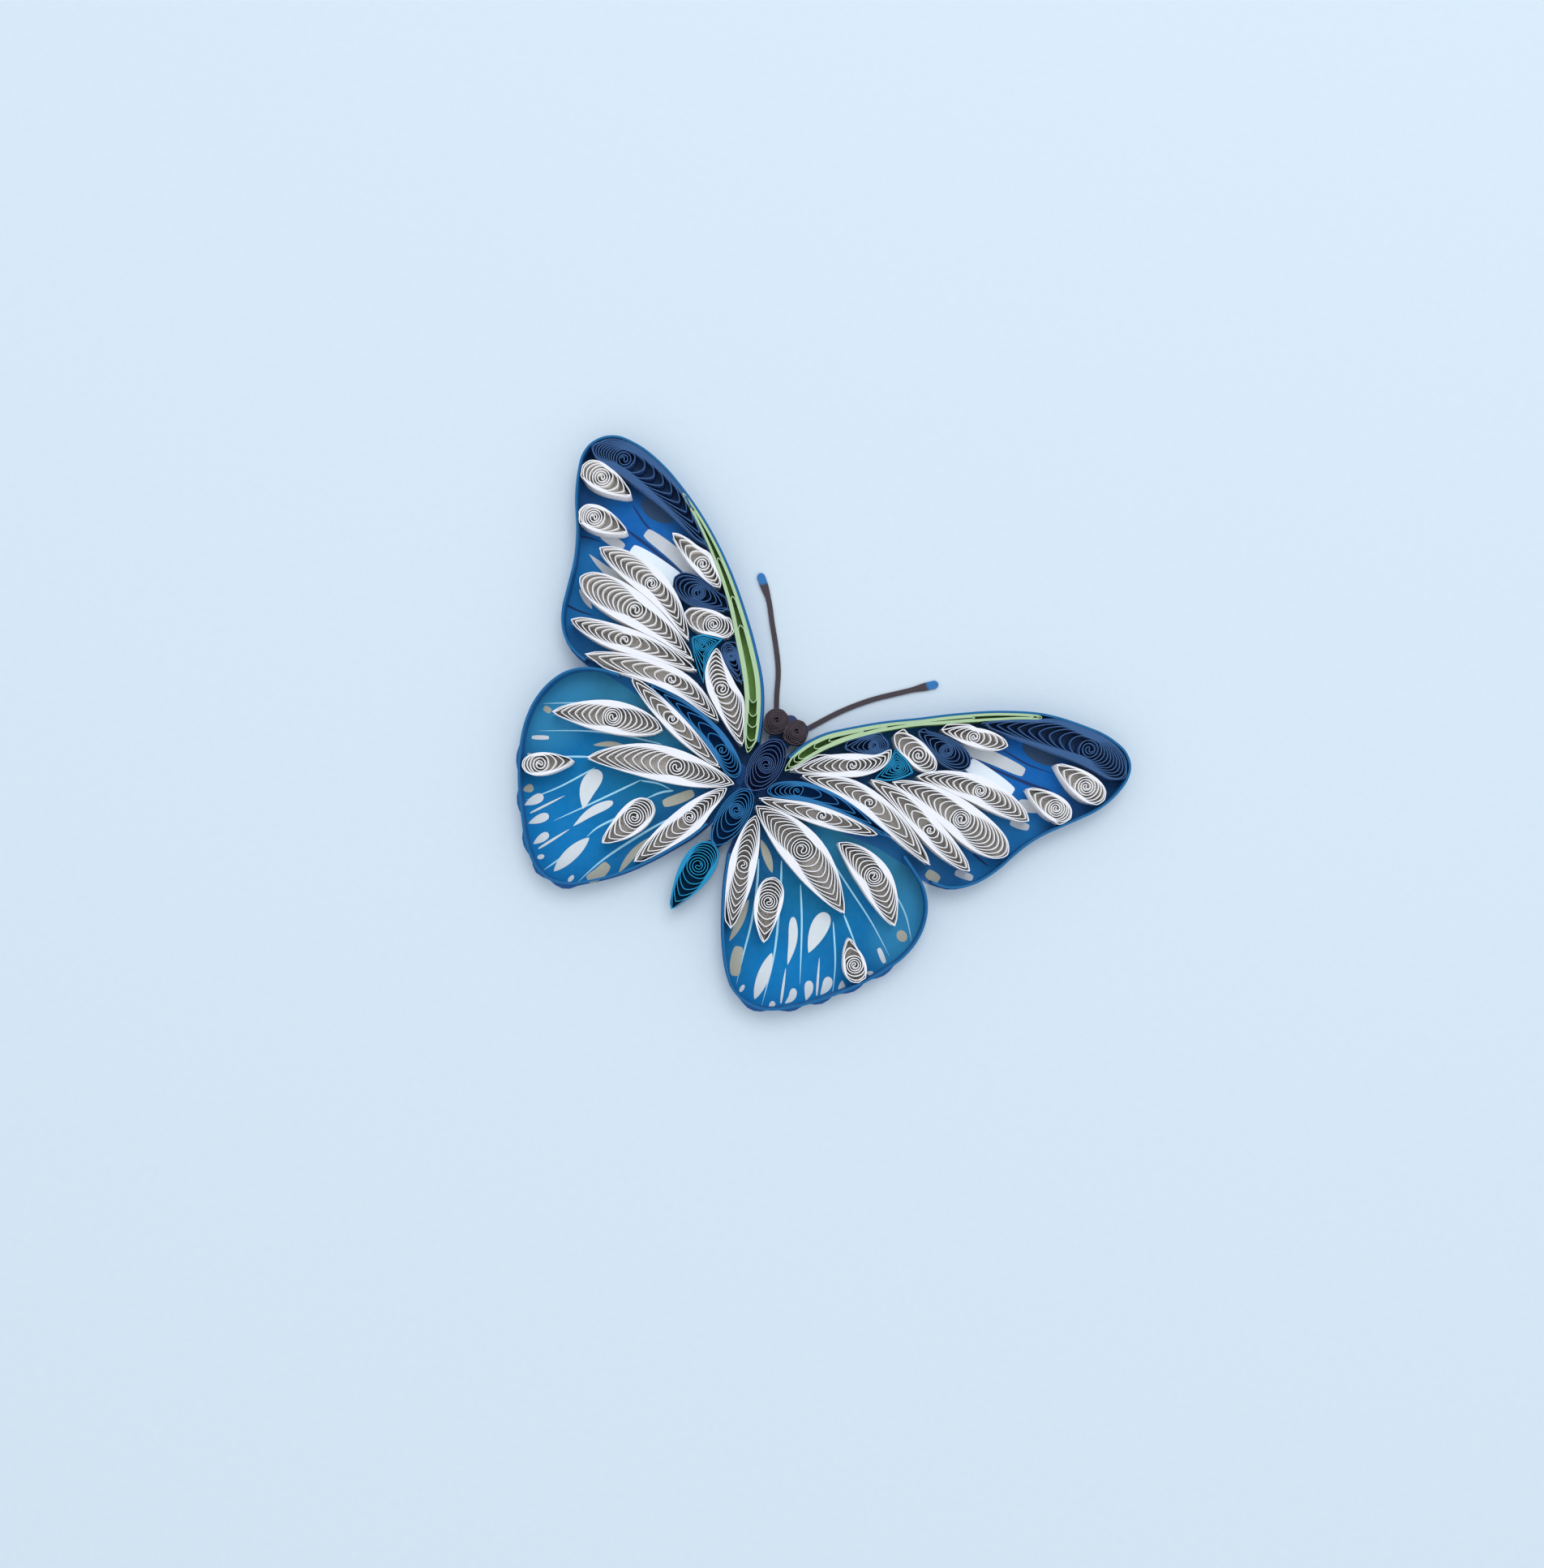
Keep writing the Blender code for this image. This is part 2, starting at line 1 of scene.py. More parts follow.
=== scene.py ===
# %% [markdown]
# # A quilled paper butterfly
#
# Quilling is rolling narrow strips of paper into coils, letting them spring open, pinching them into
# shape and gluing them on edge to a printed card. This lesson takes the butterfly's CAD frame, measures
# each coil's plan from it, and rolls the real thing: thin paper, many turns, an eye with its little hook.

import math
from collections import namedtuple

import bmesh
import bpy
import numpy as np
from mathutils import Matrix, Vector
from mathutils.geometry import delaunay_2d_cdt


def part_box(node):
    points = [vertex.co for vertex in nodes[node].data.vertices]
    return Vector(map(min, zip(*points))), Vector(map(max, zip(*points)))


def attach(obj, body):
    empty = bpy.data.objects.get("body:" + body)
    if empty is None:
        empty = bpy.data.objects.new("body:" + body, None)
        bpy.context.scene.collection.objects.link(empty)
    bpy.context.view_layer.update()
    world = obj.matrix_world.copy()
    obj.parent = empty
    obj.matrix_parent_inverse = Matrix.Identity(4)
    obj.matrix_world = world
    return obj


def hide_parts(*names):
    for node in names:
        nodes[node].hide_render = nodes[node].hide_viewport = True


MM = 0.001

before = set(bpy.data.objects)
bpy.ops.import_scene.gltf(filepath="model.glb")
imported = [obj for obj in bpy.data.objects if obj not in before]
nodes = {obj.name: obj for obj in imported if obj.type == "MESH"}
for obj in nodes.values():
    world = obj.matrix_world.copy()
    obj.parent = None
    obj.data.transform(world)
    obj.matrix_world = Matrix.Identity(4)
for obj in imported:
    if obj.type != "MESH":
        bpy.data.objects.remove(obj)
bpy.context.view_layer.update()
card_low, card_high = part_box("printed_base")
CARD_TOP = card_high.z
STRIP_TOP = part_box("left_forewing_rim")[1].z
print("nodes:", len(nodes))
print("card top", round(CARD_TOP / MM, 2), "mm, strip top", round(STRIP_TOP / MM, 2), "mm")

# %% [markdown]
# ## Camera and floor
#
# The camera looks straight down from a little below the butterfly's middle, and the butterfly is turned
# in the picture. A wide angle from 23 cm shows the walls of the outer coils from the side, so the
# camera's distance matters as much as its direction.

# %% Camera and floor
EYE = Vector((4.73, -10.84, 227.97)) * MM
LOOK = Vector((-0.0101, 0.0424, -0.999))
PHOTO_UP = Vector((-0.5244, 0.8505, 0.0414))
LENS = 35.5

scene = bpy.context.scene
scene.view_settings.view_transform = "Standard"
camera = bpy.data.objects.new("camera", bpy.data.cameras.new("camera"))
camera.data.lens = LENS
camera.data.sensor_width = 36.0
camera.data.clip_start = 0.01
camera.data.clip_end = 10.0
back = -LOOK.normalized()
side = PHOTO_UP.cross(back).normalized()
up = back.cross(side)
camera.matrix_world = Matrix.Translation(EYE) @ Matrix((side, up, back)).transposed().to_4x4()
scene.collection.objects.link(camera)
scene.camera = camera

FLOOR_HALF = 1.5  # metres
corners = [(x * FLOOR_HALF, y * FLOOR_HALF, card_low.z) for x, y in ((-1, -1), (1, -1), (1, 1), (-1, 1))]
floor_mesh = bpy.data.meshes.new("floor")
floor_mesh.from_pydata(corners, [], [(0, 1, 2, 3)])
floor = bpy.data.objects.new("floor", floor_mesh)
scene.collection.objects.link(floor)
print("camera", round((EYE.z - STRIP_TOP) / MM), "mm above the strips")

# %% [markdown]
# ## Writing shaders as sums
#
# A material's colour and relief are sums and mixes of a few patterns. A small class wraps a socket, so
# that `noise * 0.2 + 0.9` adds the Math nodes for us, and a method adds any other node.

# %% A socket that can be added and multiplied


class Wire:
    """One output socket of a node tree."""

    def __init__(self, tree, socket):
        self.tree, self.socket = tree, socket

    def _math(self, operation, first, second):
        return node(self.tree, "ShaderNodeMath", {"operation": operation}, {0: first, 1: second})

    def __add__(self, other):
        return self._math("ADD", self, other)

    def __radd__(self, other):
        return self._math("ADD", other, self)

    def __sub__(self, other):
        return self._math("SUBTRACT", self, other)

    def __rsub__(self, other):
        return self._math("SUBTRACT", other, self)

    def __mul__(self, other):
        return self._math("MULTIPLY", self, other)

    def __rmul__(self, other):
        return self._math("MULTIPLY", other, self)


def node(tree, kind, settings, sockets, output=0):
    """Adds a node: its settings first, then its sockets' values or links."""
    made = tree.nodes.new(kind)
    for name, value in settings.items():
        setattr(made, name, value)
    for name, value in sockets.items():
        if isinstance(value, Wire):
            tree.links.new(value.socket, made.inputs[name])
        else:
            made.inputs[name].default_value = value
    return Wire(tree, made.outputs[output]) if len(made.outputs) else None


def colour_mix(tree, factor, first, second):
    """The first colour where the factor is 0 and the second where it is 1."""
    return node(tree, "ShaderNodeMix", {"data_type": "RGBA"}, {0: factor, 6: first, 7: second}, output=2)


def noise(tree, place, scale, detail=3.0):
    return node(tree, "ShaderNodeTexNoise", {}, {"Vector": place, "Scale": scale, "Detail": detail})


def ramp(tree, value, low, high):
    """0 where the value is below low, 1 above high, and smooth between."""
    return node(tree, "ShaderNodeMapRange", {"interpolation_type": "SMOOTHSTEP"},
                {"Value": value, "From Min": low, "From Max": high})


def paint(red, green, blue):
    """A colour as it is seen, 0 to 255, as the linear colour that a shader takes."""
    linear = []
    for value in (red, green, blue):
        value /= 255
        linear.append(value / 12.92 if value <= 0.04045 else ((value + 0.055) / 1.055) ** 2.4)
    return (*linear, 1.0)


PAPER_SHINE = 0.3
GRAIN_SPREAD = 0.1  # how much rougher a surface is where its grain is high
BUMP_STRENGTH = 0.5


def new_material(name, shine=PAPER_SHINE):
    """A material, its tree, its shader and the place on the object that its patterns read."""
    made = bpy.data.materials.new(name)
    made.use_nodes = True
    tree = made.node_tree
    place = node(tree, "ShaderNodeTexCoord", {}, {}, output="Object")
    shader = tree.nodes["Principled BSDF"]
    shader.inputs["Specular IOR Level"].default_value = shine
    return made, tree, shader, place


def coordinate(tree, place, axis):
    """One coordinate of a place: 0 is across the wings, 1 along the body and 2 upwards."""
    return node(tree, "ShaderNodeSeparateXYZ", {}, {0: place}, output=axis)


def finish_shader(tree, shader, colour, grain, roughness, depth, spread=GRAIN_SPREAD):
    """Joins up the colour, and the grain that roughens the surface and lifts it by this depth."""
    tree.links.new(colour.socket, shader.inputs["Base Color"])
    tree.links.new((grain * spread + roughness).socket, shader.inputs["Roughness"])
    bump = node(tree, "ShaderNodeBump", {}, {"Strength": BUMP_STRENGTH, "Distance": depth, "Height": grain})
    tree.links.new(bump.socket, shader.inputs["Normal"])


# %% [markdown]
# ## Quilling paper
#
# The strips are dyed paper, matt, with short fibres that mottle the colour. From above we see their cut
# edges in full light, and their faces only in the narrow gaps between turns. So each paper gets two
# materials, one for its faces and one for its cut edges, and the two colours are set apart.

# %% Papers
FIBRE_SCALE = 5200.0
FIBRE_DEPTH = 0.03 * MM
FIBRE_SPREAD = 0.16
FIBRE_SHARE = 0.6  # of the mottling; the rest of it is wider clouds
CLOUD_SCALE = 420.0
MOTTLED_FROM = 0.3
MOTTLED_TO = 0.7
LIGHT_DEPTH = 0.25 * MM  # how far light goes into the paper

# How much darker the mottling is, how rough the paper is and how much light it lets in
Finish = namedtuple("Finish", "cloud roughness through")
WHITE_FACE = Finish(0.08, 0.72, 0.9)
DYED_FACE = Finish(0.08, 0.72, 0.4)
CUT_EDGE = Finish(0.04, 0.8, 0.1)


def paper(name, colour, finish):
    """Mottled matt paper of one colour and finish."""
    made, tree, shader, place = new_material(name)
    fibres = noise(tree, place, FIBRE_SCALE)
    clouds = noise(tree, place, CLOUD_SCALE, detail=2.0)
    mottling = ramp(tree, fibres * FIBRE_SHARE + clouds * (1 - FIBRE_SHARE), MOTTLED_FROM, MOTTLED_TO)
    deep = (*[value * (1 - finish.cloud) for value in colour[:3]], 1.0)
    shade = colour_mix(tree, mottling, deep, colour)
    smoothest = finish.roughness - FIBRE_SPREAD / 2
    finish_shader(tree, shader, shade, fibres, smoothest, FIBRE_DEPTH, FIBRE_SPREAD)
    shader.inputs["Subsurface Weight"].default_value = finish.through
    shader.inputs["Subsurface Radius"].default_value = (1.0, 1.0, 1.0)
    shader.inputs["Subsurface Scale"].default_value = LIGHT_DEPTH
    return made


# Face and cut edge of each paper, 0 to 255. The difference between the two is painted light: each face
# colour is set for the shaded gaps between turns, most of them brighter to lift that shade, and each cut
# edge colour is set for the full light from above.
PAPER_COLOURS = {
    "white": ((252, 250, 248), (223, 228, 239)),
    "navy": ((74, 112, 164), (48, 86, 134)),
    "indigo": ((58, 88, 152), (48, 78, 126)),
    "blue": ((12, 112, 182), (32, 106, 164)),
    "teal": ((6, 116, 168), (18, 132, 182)),
    "green": ((146, 188, 128), (160, 190, 154)),
    "plum": ((86, 74, 86), (62, 54, 64)),
    "rim_blue": ((8, 88, 146), (14, 96, 150)),
}
papers = {}
for name, (face, edge) in PAPER_COLOURS.items():
    face_finish = WHITE_FACE if name == "white" else DYED_FACE
    papers[name] = (paper(name + "_paper", paint(*face), face_finish),
                    paper(name + "_cut_edge", paint(*edge), CUT_EDGE))
print("papers:", ", ".join(papers))

# %% [markdown]
# ## Measuring a coil's plan
#
# The CAD coil is a coarse roll of one to three turns. Its top is one long closed outline, with the outer
# end of the strip at one short side and the inner end at the other. Halving it gives the strip's middle
# line. The first turn of that line is the coil's shape: from the pinched tail along one side to the head,
# and back along the other. From it we take the coil's own middle line and its width along the way, and
# fit the two numbers that say how sharply the ends are pinched.

# %% Read a strip's path from its CAD node
MERGED = 0.001 * MM  # corners this near to each other are one
TOP_BAND = 0.01 * MM  # a face this near to the highest corner belongs to the top


def top_loop(name):
    """The outline of a CAD strip's top, in order."""
    solid = bmesh.new()
    solid.from_mesh(nodes[name].data)
    bmesh.ops.remove_doubles(solid, verts=solid.verts, dist=MERGED)
    top = max(vertex.co.z for vertex in solid.verts) - TOP_BAND
    level = {face for face in solid.faces if all(vertex.co.z > top for vertex in face.verts)}
    after = {}
    for face in level:
        for loop in face.loops:
            twin = [other for other in loop.edge.link_faces if other is not face and other in level]
            if not twin:
                after[loop.vert] = loop.link_loop_next.vert
    start = vertex = next(iter(after))
    outline = []
    while True:
        outline.append((vertex.co.x, vertex.co.y))
        vertex = after[vertex]
        if vertex is start:
            break
    solid.free()
    return np.array(outline)


def nearest_on(line, point):
    """The point of a polyline that is nearest to a point."""
    start, step = line[:-1], np.diff(line, axis=0)
    share = np.clip(((point - start) * step).sum(axis=1) / (step ** 2).sum(axis=1), 0, 1)
    spots = start + step * share[:, None]
    return spots[np.argmin(np.linalg.norm(spots - point, axis=1))]


def strip_path(name):
    """The middle line of a CAD strip, from its outer end to its inner end, and its thickness."""
    outline = top_loop(name)
    steps = np.roll(outline, -1, axis=0) - outline
    lengths = np.linalg.norm(steps, axis=1)
    ways = steps / lengths[:, None]
    turns = np.abs((ways * np.roll(ways, 1, axis=0)).sum(axis=1))
    squareness = np.maximum(turns, np.roll(turns, -1))  # 0 at the strip's two cut ends
    first, second = sorted(np.argsort(squareness)[:2])
    one = outline[first + 1:second + 1]
    other = np.vstack([outline[second + 1:], outline[:first + 1]])[::-1]
    if len(other) > len(one):
        one, other = other, one
    path = np.array([(point + nearest_on(other, point)) / 2 for point in one])
    middle = path.mean(axis=0)
    if np.linalg.norm(path[-1] - middle) > np.linalg.norm(path[0] - middle):
        path = path[::-1]
    return path, lengths[first]


# %% Walk along a line
CURVE_STEPS = 20  # between two points that a smooth curve goes through
SPINE_POINTS = 90


def distances(line):
    """How far each point of a line is from its start, along it."""
    return np.concatenate([[0.0], np.cumsum(np.linalg.norm(np.diff(line, axis=0), axis=1))])


def length_of(line):
    return np.linalg.norm(np.diff(line, axis=0), axis=1).sum()


def sample(values, run, at):
    """Pairs of values at these places, where run is the place of each pair that is known."""
    return np.column_stack([np.interp(at, run, values[:, axis]) for axis in (0, 1)])


def along_line(line, shares):
    """The points of a line at these shares of its length."""
    run = distances(line)
    return sample(line, run, np.asarray(shares) * run[-1])


def directions(line):
    """Which way a line runs at each of its points, and which way is left of that."""
    ahead = np.gradient(line, axis=0)
    ahead /= np.linalg.norm(ahead, axis=1)[:, None]
    return ahead, np.column_stack([-ahead[:, 1], ahead[:, 0]])


def smooth_line(points, count):
    """Even steps along a smooth curve through the points."""
    points = np.asarray(points, float)
    padded = np.vstack([2 * points[0] - points[1], points, 2 * points[-1] - points[-2]])
    dense = []
    for before, here, there, beyond in zip(padded, padded[1:], padded[2:], padded[3:]):
        slope = there - before
        bend = 2 * before - 5 * here + 4 * there - beyond
        twist = 3 * here - before - 3 * there + beyond
        for t in np.linspace(0, 1, CURVE_STEPS, endpoint=False):
            dense.append(0.5 * (2 * here + slope * t + bend * t ** 2 + twist * t ** 3))
    dense = np.array([*dense, points[-1]])
    run = distances(dense)
    return sample(dense, run, np.linspace(0, run[-1], count))


class Spine:
    """A coil's middle line, as distances from the tail and to the left."""

    def __init__(self, points):
        self.line = smooth_line(points, SPINE_POINTS)
        self.ahead, self.left = directions(self.line)
        self.length = length_of(self.line)
        self.run = np.linspace(0, self.length, len(self.line))

    def place(self, along, aside):
        """Points in the plan. Beyond its ends the spine goes straight on."""
        along, aside = np.atleast_1d(along), np.atleast_1d(aside)
        spot = sample(self.line, self.run, along)
        left = sample(self.left, self.run, along)
        over = np.maximum(along - self.length, 0)[:, None] * self.ahead[-1]
        under = np.minimum(along, 0)[:, None] * self.ahead[0]
        return spot + left * aside[:, None] + over + under

    def measure(self, point):
        """Distance along and to the left of a point of the plan."""
        nearest = int(np.argmin(np.linalg.norm(self.line - point, axis=1)))
        step = point - self.line[nearest]
        return self.run[nearest] + step @ self.ahead[nearest], step @ self.left[nearest]


# %% Measure the coils
Plan = namedtuple("Plan", "spine half ends eye")
TUCKED = 0.2  # share of the length at the tail where the second side is tucked in
TIP_GROWTH = 0.18 * MM
SPINE_STATIONS = 9
SPINE_SKIP = 8  # points of the first spine from one to the next that the longer spine keeps
FIT_SHARES = np.linspace(0.1, 0.94, 22)  # where along its sides a coil's width is measured
FIT_MARGIN = 0.02
LEAST_HALF = 0.05 * MM
BLUNTEST = 0.35
SHARPEST = 1.2
EYE_POINTS = 6  # the last points of the CAD strip, which lie round the eye
RIM_POINTS = 320


def leaf_width(share, ends):
    """Width of a leaf at a share of its length, where 1 is its widest."""
    tail, head = ends
    widest = tail / (tail + head)
    peak = widest ** tail * (1 - widest) ** head
    return share ** tail * (1 - share) ** head / peak


def two_sides(path):
    """The first turn's two sides, both from tail to head."""
    away = np.linalg.norm(path - path[0], axis=1)
    head = int(np.argmax(away))
    back_home = head
    while back_home + 1 < len(path) and away[back_home + 1] < away[back_home]:
        back_home += 1
    returning = [step for step in range(head, back_home + 1) if away[step] > TUCKED * away[head]]
    return path[:head + 1], np.vstack([path[0], path[returning][::-1]])


def coil_plan(name):
    """Measures a coil: its spine, half its width, how its ends are pinched and where its eye is."""
    path, layer = strip_path(name)
    left, right = two_sides(path)
    stations = np.linspace(0, 1, SPINE_STATIONS)
    spine = Spine((along_line(left, stations) + along_line(right, stations)) / 2)
    spots = np.vstack([along_line(rail, FIT_SHARES) for rail in (left, right)])
    measured = np.array([spine.measure(spot) for spot in spots])
    shares = np.clip(measured[:, 0] / spine.length, FIT_MARGIN, 1 - FIT_MARGIN)
    halves = np.maximum(np.abs(measured[:, 1]), LEAST_HALF)
    table = np.column_stack([np.ones(len(shares)), np.log(shares), np.log(1 - shares)])
    fit = np.linalg.lstsq(table, np.log(halves), rcond=None)[0]
    ends = tuple(np.clip(fit[1:], BLUNTEST, SHARPEST))
    widest = ends[0] / (ends[0] + ends[1])
    half = math.exp(fit[0]) * widest ** fit[1] * (1 - widest) ** fit[2] + layer / 2
    tail = spine.line[0] - spine.ahead[0] * (TIP_GROWTH + layer / 2)
    head = spine.line[-1] + spine.ahead[-1] * (TIP_GROWTH + layer / 2)
    longer = Spine([tail, *spine.line[SPINE_SKIP:-SPINE_SKIP:SPINE_SKIP], head])
    eye = path[-EYE_POINTS:].mean(axis=0)
    return Plan(longer, half, ends, longer.measure(eye)[0])


STRIPS = [name for name in nodes if name != "printed_base"]
TRIANGLES = [name for name in STRIPS if "triangle" in name]
RIMS = [name for name in STRIPS if name.endswith("_rim")]
FOLDED = [name for name in STRIPS if "green" in name]
COILS = [name for name in STRIPS if name not in TRIANGLES + RIMS + FOLDED]
plans = {name: coil_plan(name) for name in COILS}
rim_lines = {name: smooth_line(strip_path(name)[0], RIM_POINTS) for name in RIMS}
for name in ("left_forewing_white_largest", "thorax"):
    plan = plans[name]
    print(name, "length", round(plan.spine.length / MM, 1), "width", round(2 * plan.half / MM, 1),
          "ends", [round(float(end), 2) for end in plan.ends])

# %% [markdown]
# The two navy tips and the green folds are pressed into the wing's corner, where the CAD keeps them apart.
# A tip runs on along the rim, and the fold fills what is left between it and the rim. Their lines are drawn
# in millimetres: a tip's spine from its tail to its head, and a fold's inner edge from the tip of the wing
# to its root.

# %% Navy tips and green folds
# The points of a tip's spine, its width and where its eye is, as a share of its length
TIPS = {
    "left_forewing_navy_tip": (((-22.9, 22.9), (-31.0, 26.7), (-38.5, 28.0), (-45.9, 27.0)), 4.3, 0.79),
    "right_forewing_navy_tip": (((23.9, 22.4), (32.0, 25.7), (39.4, 27.3), (45.8, 26.6)), 4.3, 0.71),
}
FOLD_EDGES = {
    "left": ((-31.0, 27.9), (-27.5, 25.9), (-24.4, 23.9), (-21.4, 21.7), (-18.9, 19.7), (-16.8, 17.8),
             (-15.1, 16.1), (-13.3, 14.1), (-11.5, 12.2), (-9.7, 10.2), (-8.5, 8.7), (-7.4, 7.2),
             (-6.4, 5.6), (-5.3, 3.7), (-4.2, 2.0), (-3.3, 0.8)),
    "right": ((31.0, 27.3), (28.3, 25.7), (25.8, 24.0), (22.8, 21.9), (19.1, 19.2), (16.0, 17.0),
              (14.1, 15.4), (12.3, 13.8), (10.9, 12.4), (9.0, 10.4), (7.7, 8.8), (6.4, 7.0),
              (5.4, 5.2), (4.2, 2.9), (3.3, 1.4)),
}
FOLD_ROOTS = {"left": (-2.75, 0.75), "right": (2.85, 1.35)}
RIM_HALF = 0.19 * MM  # from the middle of a rim to its inner face
FOLD_POINTS = 240

for name, (points, width, eye) in TIPS.items():
    spine = Spine(np.array(points) * MM)
    plans[name] = Plan(spine, width / 2 * MM, plans[name].ends, eye * spine.length)


def folded_bounds(name):
    """The rim's inner face and the fold's inner edge, both from the tip to the root."""
    half_wing = name.split("_")[0]
    inner = smooth_line(np.array(FOLD_EDGES[half_wing]) * MM, FOLD_POINTS)
    root = np.array(FOLD_ROOTS[half_wing]) * MM
    rim = rim_lines[half_wing + "_forewing_rim"]
    first, last = (int(np.argmin(np.linalg.norm(rim - spot, axis=1))) for spot in (inner[0], root))
    face = rim[first:last:1 if last > first else -1]
    inward = np.array([nearest_on(inner, spot) for spot in face]) - face
    face = face + inward * RIM_HALF / np.linalg.norm(inward, axis=1)[:, None]
    return along_line(np.vstack([face, root]), np.linspace(0, 1, FOLD_POINTS)), inner


fold_bounds = {name: folded_bounds(name) for name in FOLDED}
for name, (outer, inner) in fold_bounds.items():
    print(name, "is", round(float(np.linalg.norm(outer - inner, axis=1).max()) / MM, 1), "mm wide at most")

# %% [markdown]
# ## Coils that press against each other
#
# CAD solids need a small gap between them, but glued coils touch: each one swells until it meets its
# neighbour or the rim. So we look outwards from many points of each coil, measure the gap, and let the
# coil take half of it, or all of it where the rim is next. Where nothing is near it swells a little anyway.

# %% Swell each coil to its neighbours
PAPER = 0.114 * MM  # thickness of a strip
PITCH = 0.115 * MM  # two turns that lie tight
FREE_GROWTH = 0.3 * MM
RIM_GROWTH = 0.75 * MM
TOUCH = 0.02 * MM  # left open between coils that touch
REACH = 1.1 * MM  # how far a coil looks for its neighbour
LOOK_WIDTH = 0.2 * MM
NEIGHBOUR = 8 * MM  # no point of a strip that is further off than this can be within reach
NEIGHBOUR_SKIP = 20  # points of an outline from one to the next that this is tried on
OUTLINE_SHARES = np.linspace(0, 1, 700)
SIDE_SHARES = (1 - np.cos(np.linspace(0, math.pi, 61))) / 2
BODY_SLOTS = ("indigo", "plum")  # these grow evenly and keep a smooth oval outline
BODY_PERCENTILE = 30
CALM_POINTS = 5  # neighbouring points whose growth is evened out
END_FADE = 0.06  # share of the length at each end where the growth fades away

slot_of = {name: nodes[name].data.materials[0].name.split(".")[0] for name in STRIPS}
loops = {name: top_loop(name) for name in STRIPS}
loops.update({name: np.vstack([outer, inner[::-1]]) for name, (outer, inner) in fold_bounds.items()})
closed = {name: np.vstack([loop, loop[:1]]) for name, loop in loops.items()}
outlines = {name: along_line(loop, OUTLINE_SHARES) for name, loop in closed.items()}


def gap_beyond(name, spot, way):
    """Distance from a point to the nearest other strip that way, and whether it is a rim or fold."""
    nearest, is_rim = REACH, False
    across = np.array([-way[1], way[0]])
    for other, outline in outlines.items():
        if other == name or np.abs(outline[::NEIGHBOUR_SKIP] - spot).sum(axis=1).min() > NEIGHBOUR:
            continue
        steps = outline - spot
        ahead, aside = steps @ way, np.abs(steps @ across)
        close = ahead[(aside < LOOK_WIDTH) & (ahead > -REACH / 2) & (ahead < nearest)]
        if len(close):
            nearest, is_rim = close.min(), other in RIMS + FOLDED
    return nearest, is_rim


def grown_side(name, plan, sign, shares):
    """Half width of a coil on one side, at these shares of its length, once it touches its neighbours."""
    half = leaf_width(shares, plan.ends) * plan.half
    growth = []
    for share, aside in zip(shares, half):
        spot = plan.spine.place(share * plan.spine.length, sign * aside)[0]
        nearest = int(share * (len(plan.spine.line) - 1))
        gap, is_rim = gap_beyond(name, spot, sign * plan.spine.left[nearest])
        room = gap - TOUCH if is_rim else gap / 2 - TOUCH / 2
        growth.append(min(room, RIM_GROWTH if is_rim else FREE_GROWTH) if gap < REACH else FREE_GROWTH)
    if slot_of[name] in BODY_SLOTS:
        growth = [max(np.percentile(growth, BODY_PERCENTILE), 0)] * len(growth)
    padded = np.pad(growth, CALM_POINTS // 2, "edge")
    calm = np.convolve(padded, np.ones(CALM_POINTS) / CALM_POINTS, "valid")
    fade = np.clip(np.minimum(shares, 1 - shares) / END_FADE, 0, 1)
    return np.maximum(half + calm * fade, 0)


sides = {name: {sign: grown_side(name, plan, sign, SIDE_SHARES) for sign in (1, -1)}
         for name, plan in plans.items()}
print("widest coil:", round(max(side[1].max() + side[-1].max() for side in sides.values()) / MM, 2), "mm")

# %% [markdown]
# ## Rolling a coil
#
# A pinched coil is one strip. Its outer turns follow the outline and lie pressed together along the
# sides, and one after another they fold back before the pinched ends, each fold rounder than the one
# outside it. The coils of the body and the navy ovals and teardrops are looser, and their turns are evenly
# spread. The last turns are a small round roll, and the strip ends in the S that the slotted tool leaves.
# No turn may cross the one outside it, so each side of a turn is kept inside the side before it.

# %% The path of a rolled strip
Roll = namedtuple("Roll", "folds layer core round_turns hole")
STEPS = 52  # points in one turn
HALF_TURN = STEPS // 2
CORE_PITCH = 0.38 * MM  # between the round turns
FOLDED_SHARE = 0.54  # how much of the half width the folded turns take, pressed together
FOLD_SPACE = 1.8 * MM  # length of coil for each folded turn
FEWEST_FOLDS = 3
MOST_FOLDS = 10
LOOSE = ("thorax", "abdomen", "head_coil", "navy_oval", "navy_teardrop")  # coils with evenly spread turns
LOOSE_FOLDS = 5
LOOSE_ROUND = 3
HOLE_SHARE = 0.2  # of the half width, for the hole round the hook
LEAST_HOLE = 0.24 * MM
EYE_ROOM = 1.3  # radii of the round turns that lie between the eye and either end of the coil
SIDE_REACH = 1.16  # how far a turn would bulge if the one outside it didn't hold it
SOFT = 0.03 * MM  # how softly a turn leaves the side
FOLD_WIDTH = 3 * PITCH  # the second turn folds back where the coil is this wide
END_POINTS = 20  # points of a side from its end, among which that place is looked for
ROUND_END = 0.5  # how an oval's ends are pinched, which the turns come to at the eye
ROUNDING = 0.6  # the smaller, the sooner they do
HOOK_SHAPE = ((1.0, 0), (0.96, 25), (0.8, 50), (0.5, 72), (0.2, 85))  # reach, and degrees round


def roll_for(name, half, length):
    """How many turns are folded and how many are round, for a coil of this half width and length."""
    hole = max(HOLE_SHARE * half, LEAST_HOLE)
    if any(word in name for word in LOOSE):
        layer = (half - hole) / (LOOSE_FOLDS + LOOSE_ROUND)
        return Roll(LOOSE_FOLDS, layer, half - LOOSE_FOLDS * layer, LOOSE_ROUND, hole)
    folds = min(int(FOLDED_SHARE * half / PITCH), int(length / FOLD_SPACE), MOST_FOLDS)
    folds = max(folds, FEWEST_FOLDS)
    core = half - folds * PITCH
    return Roll(folds, PITCH, core, max(round((core - hole) / CORE_PITCH), 1), hole)


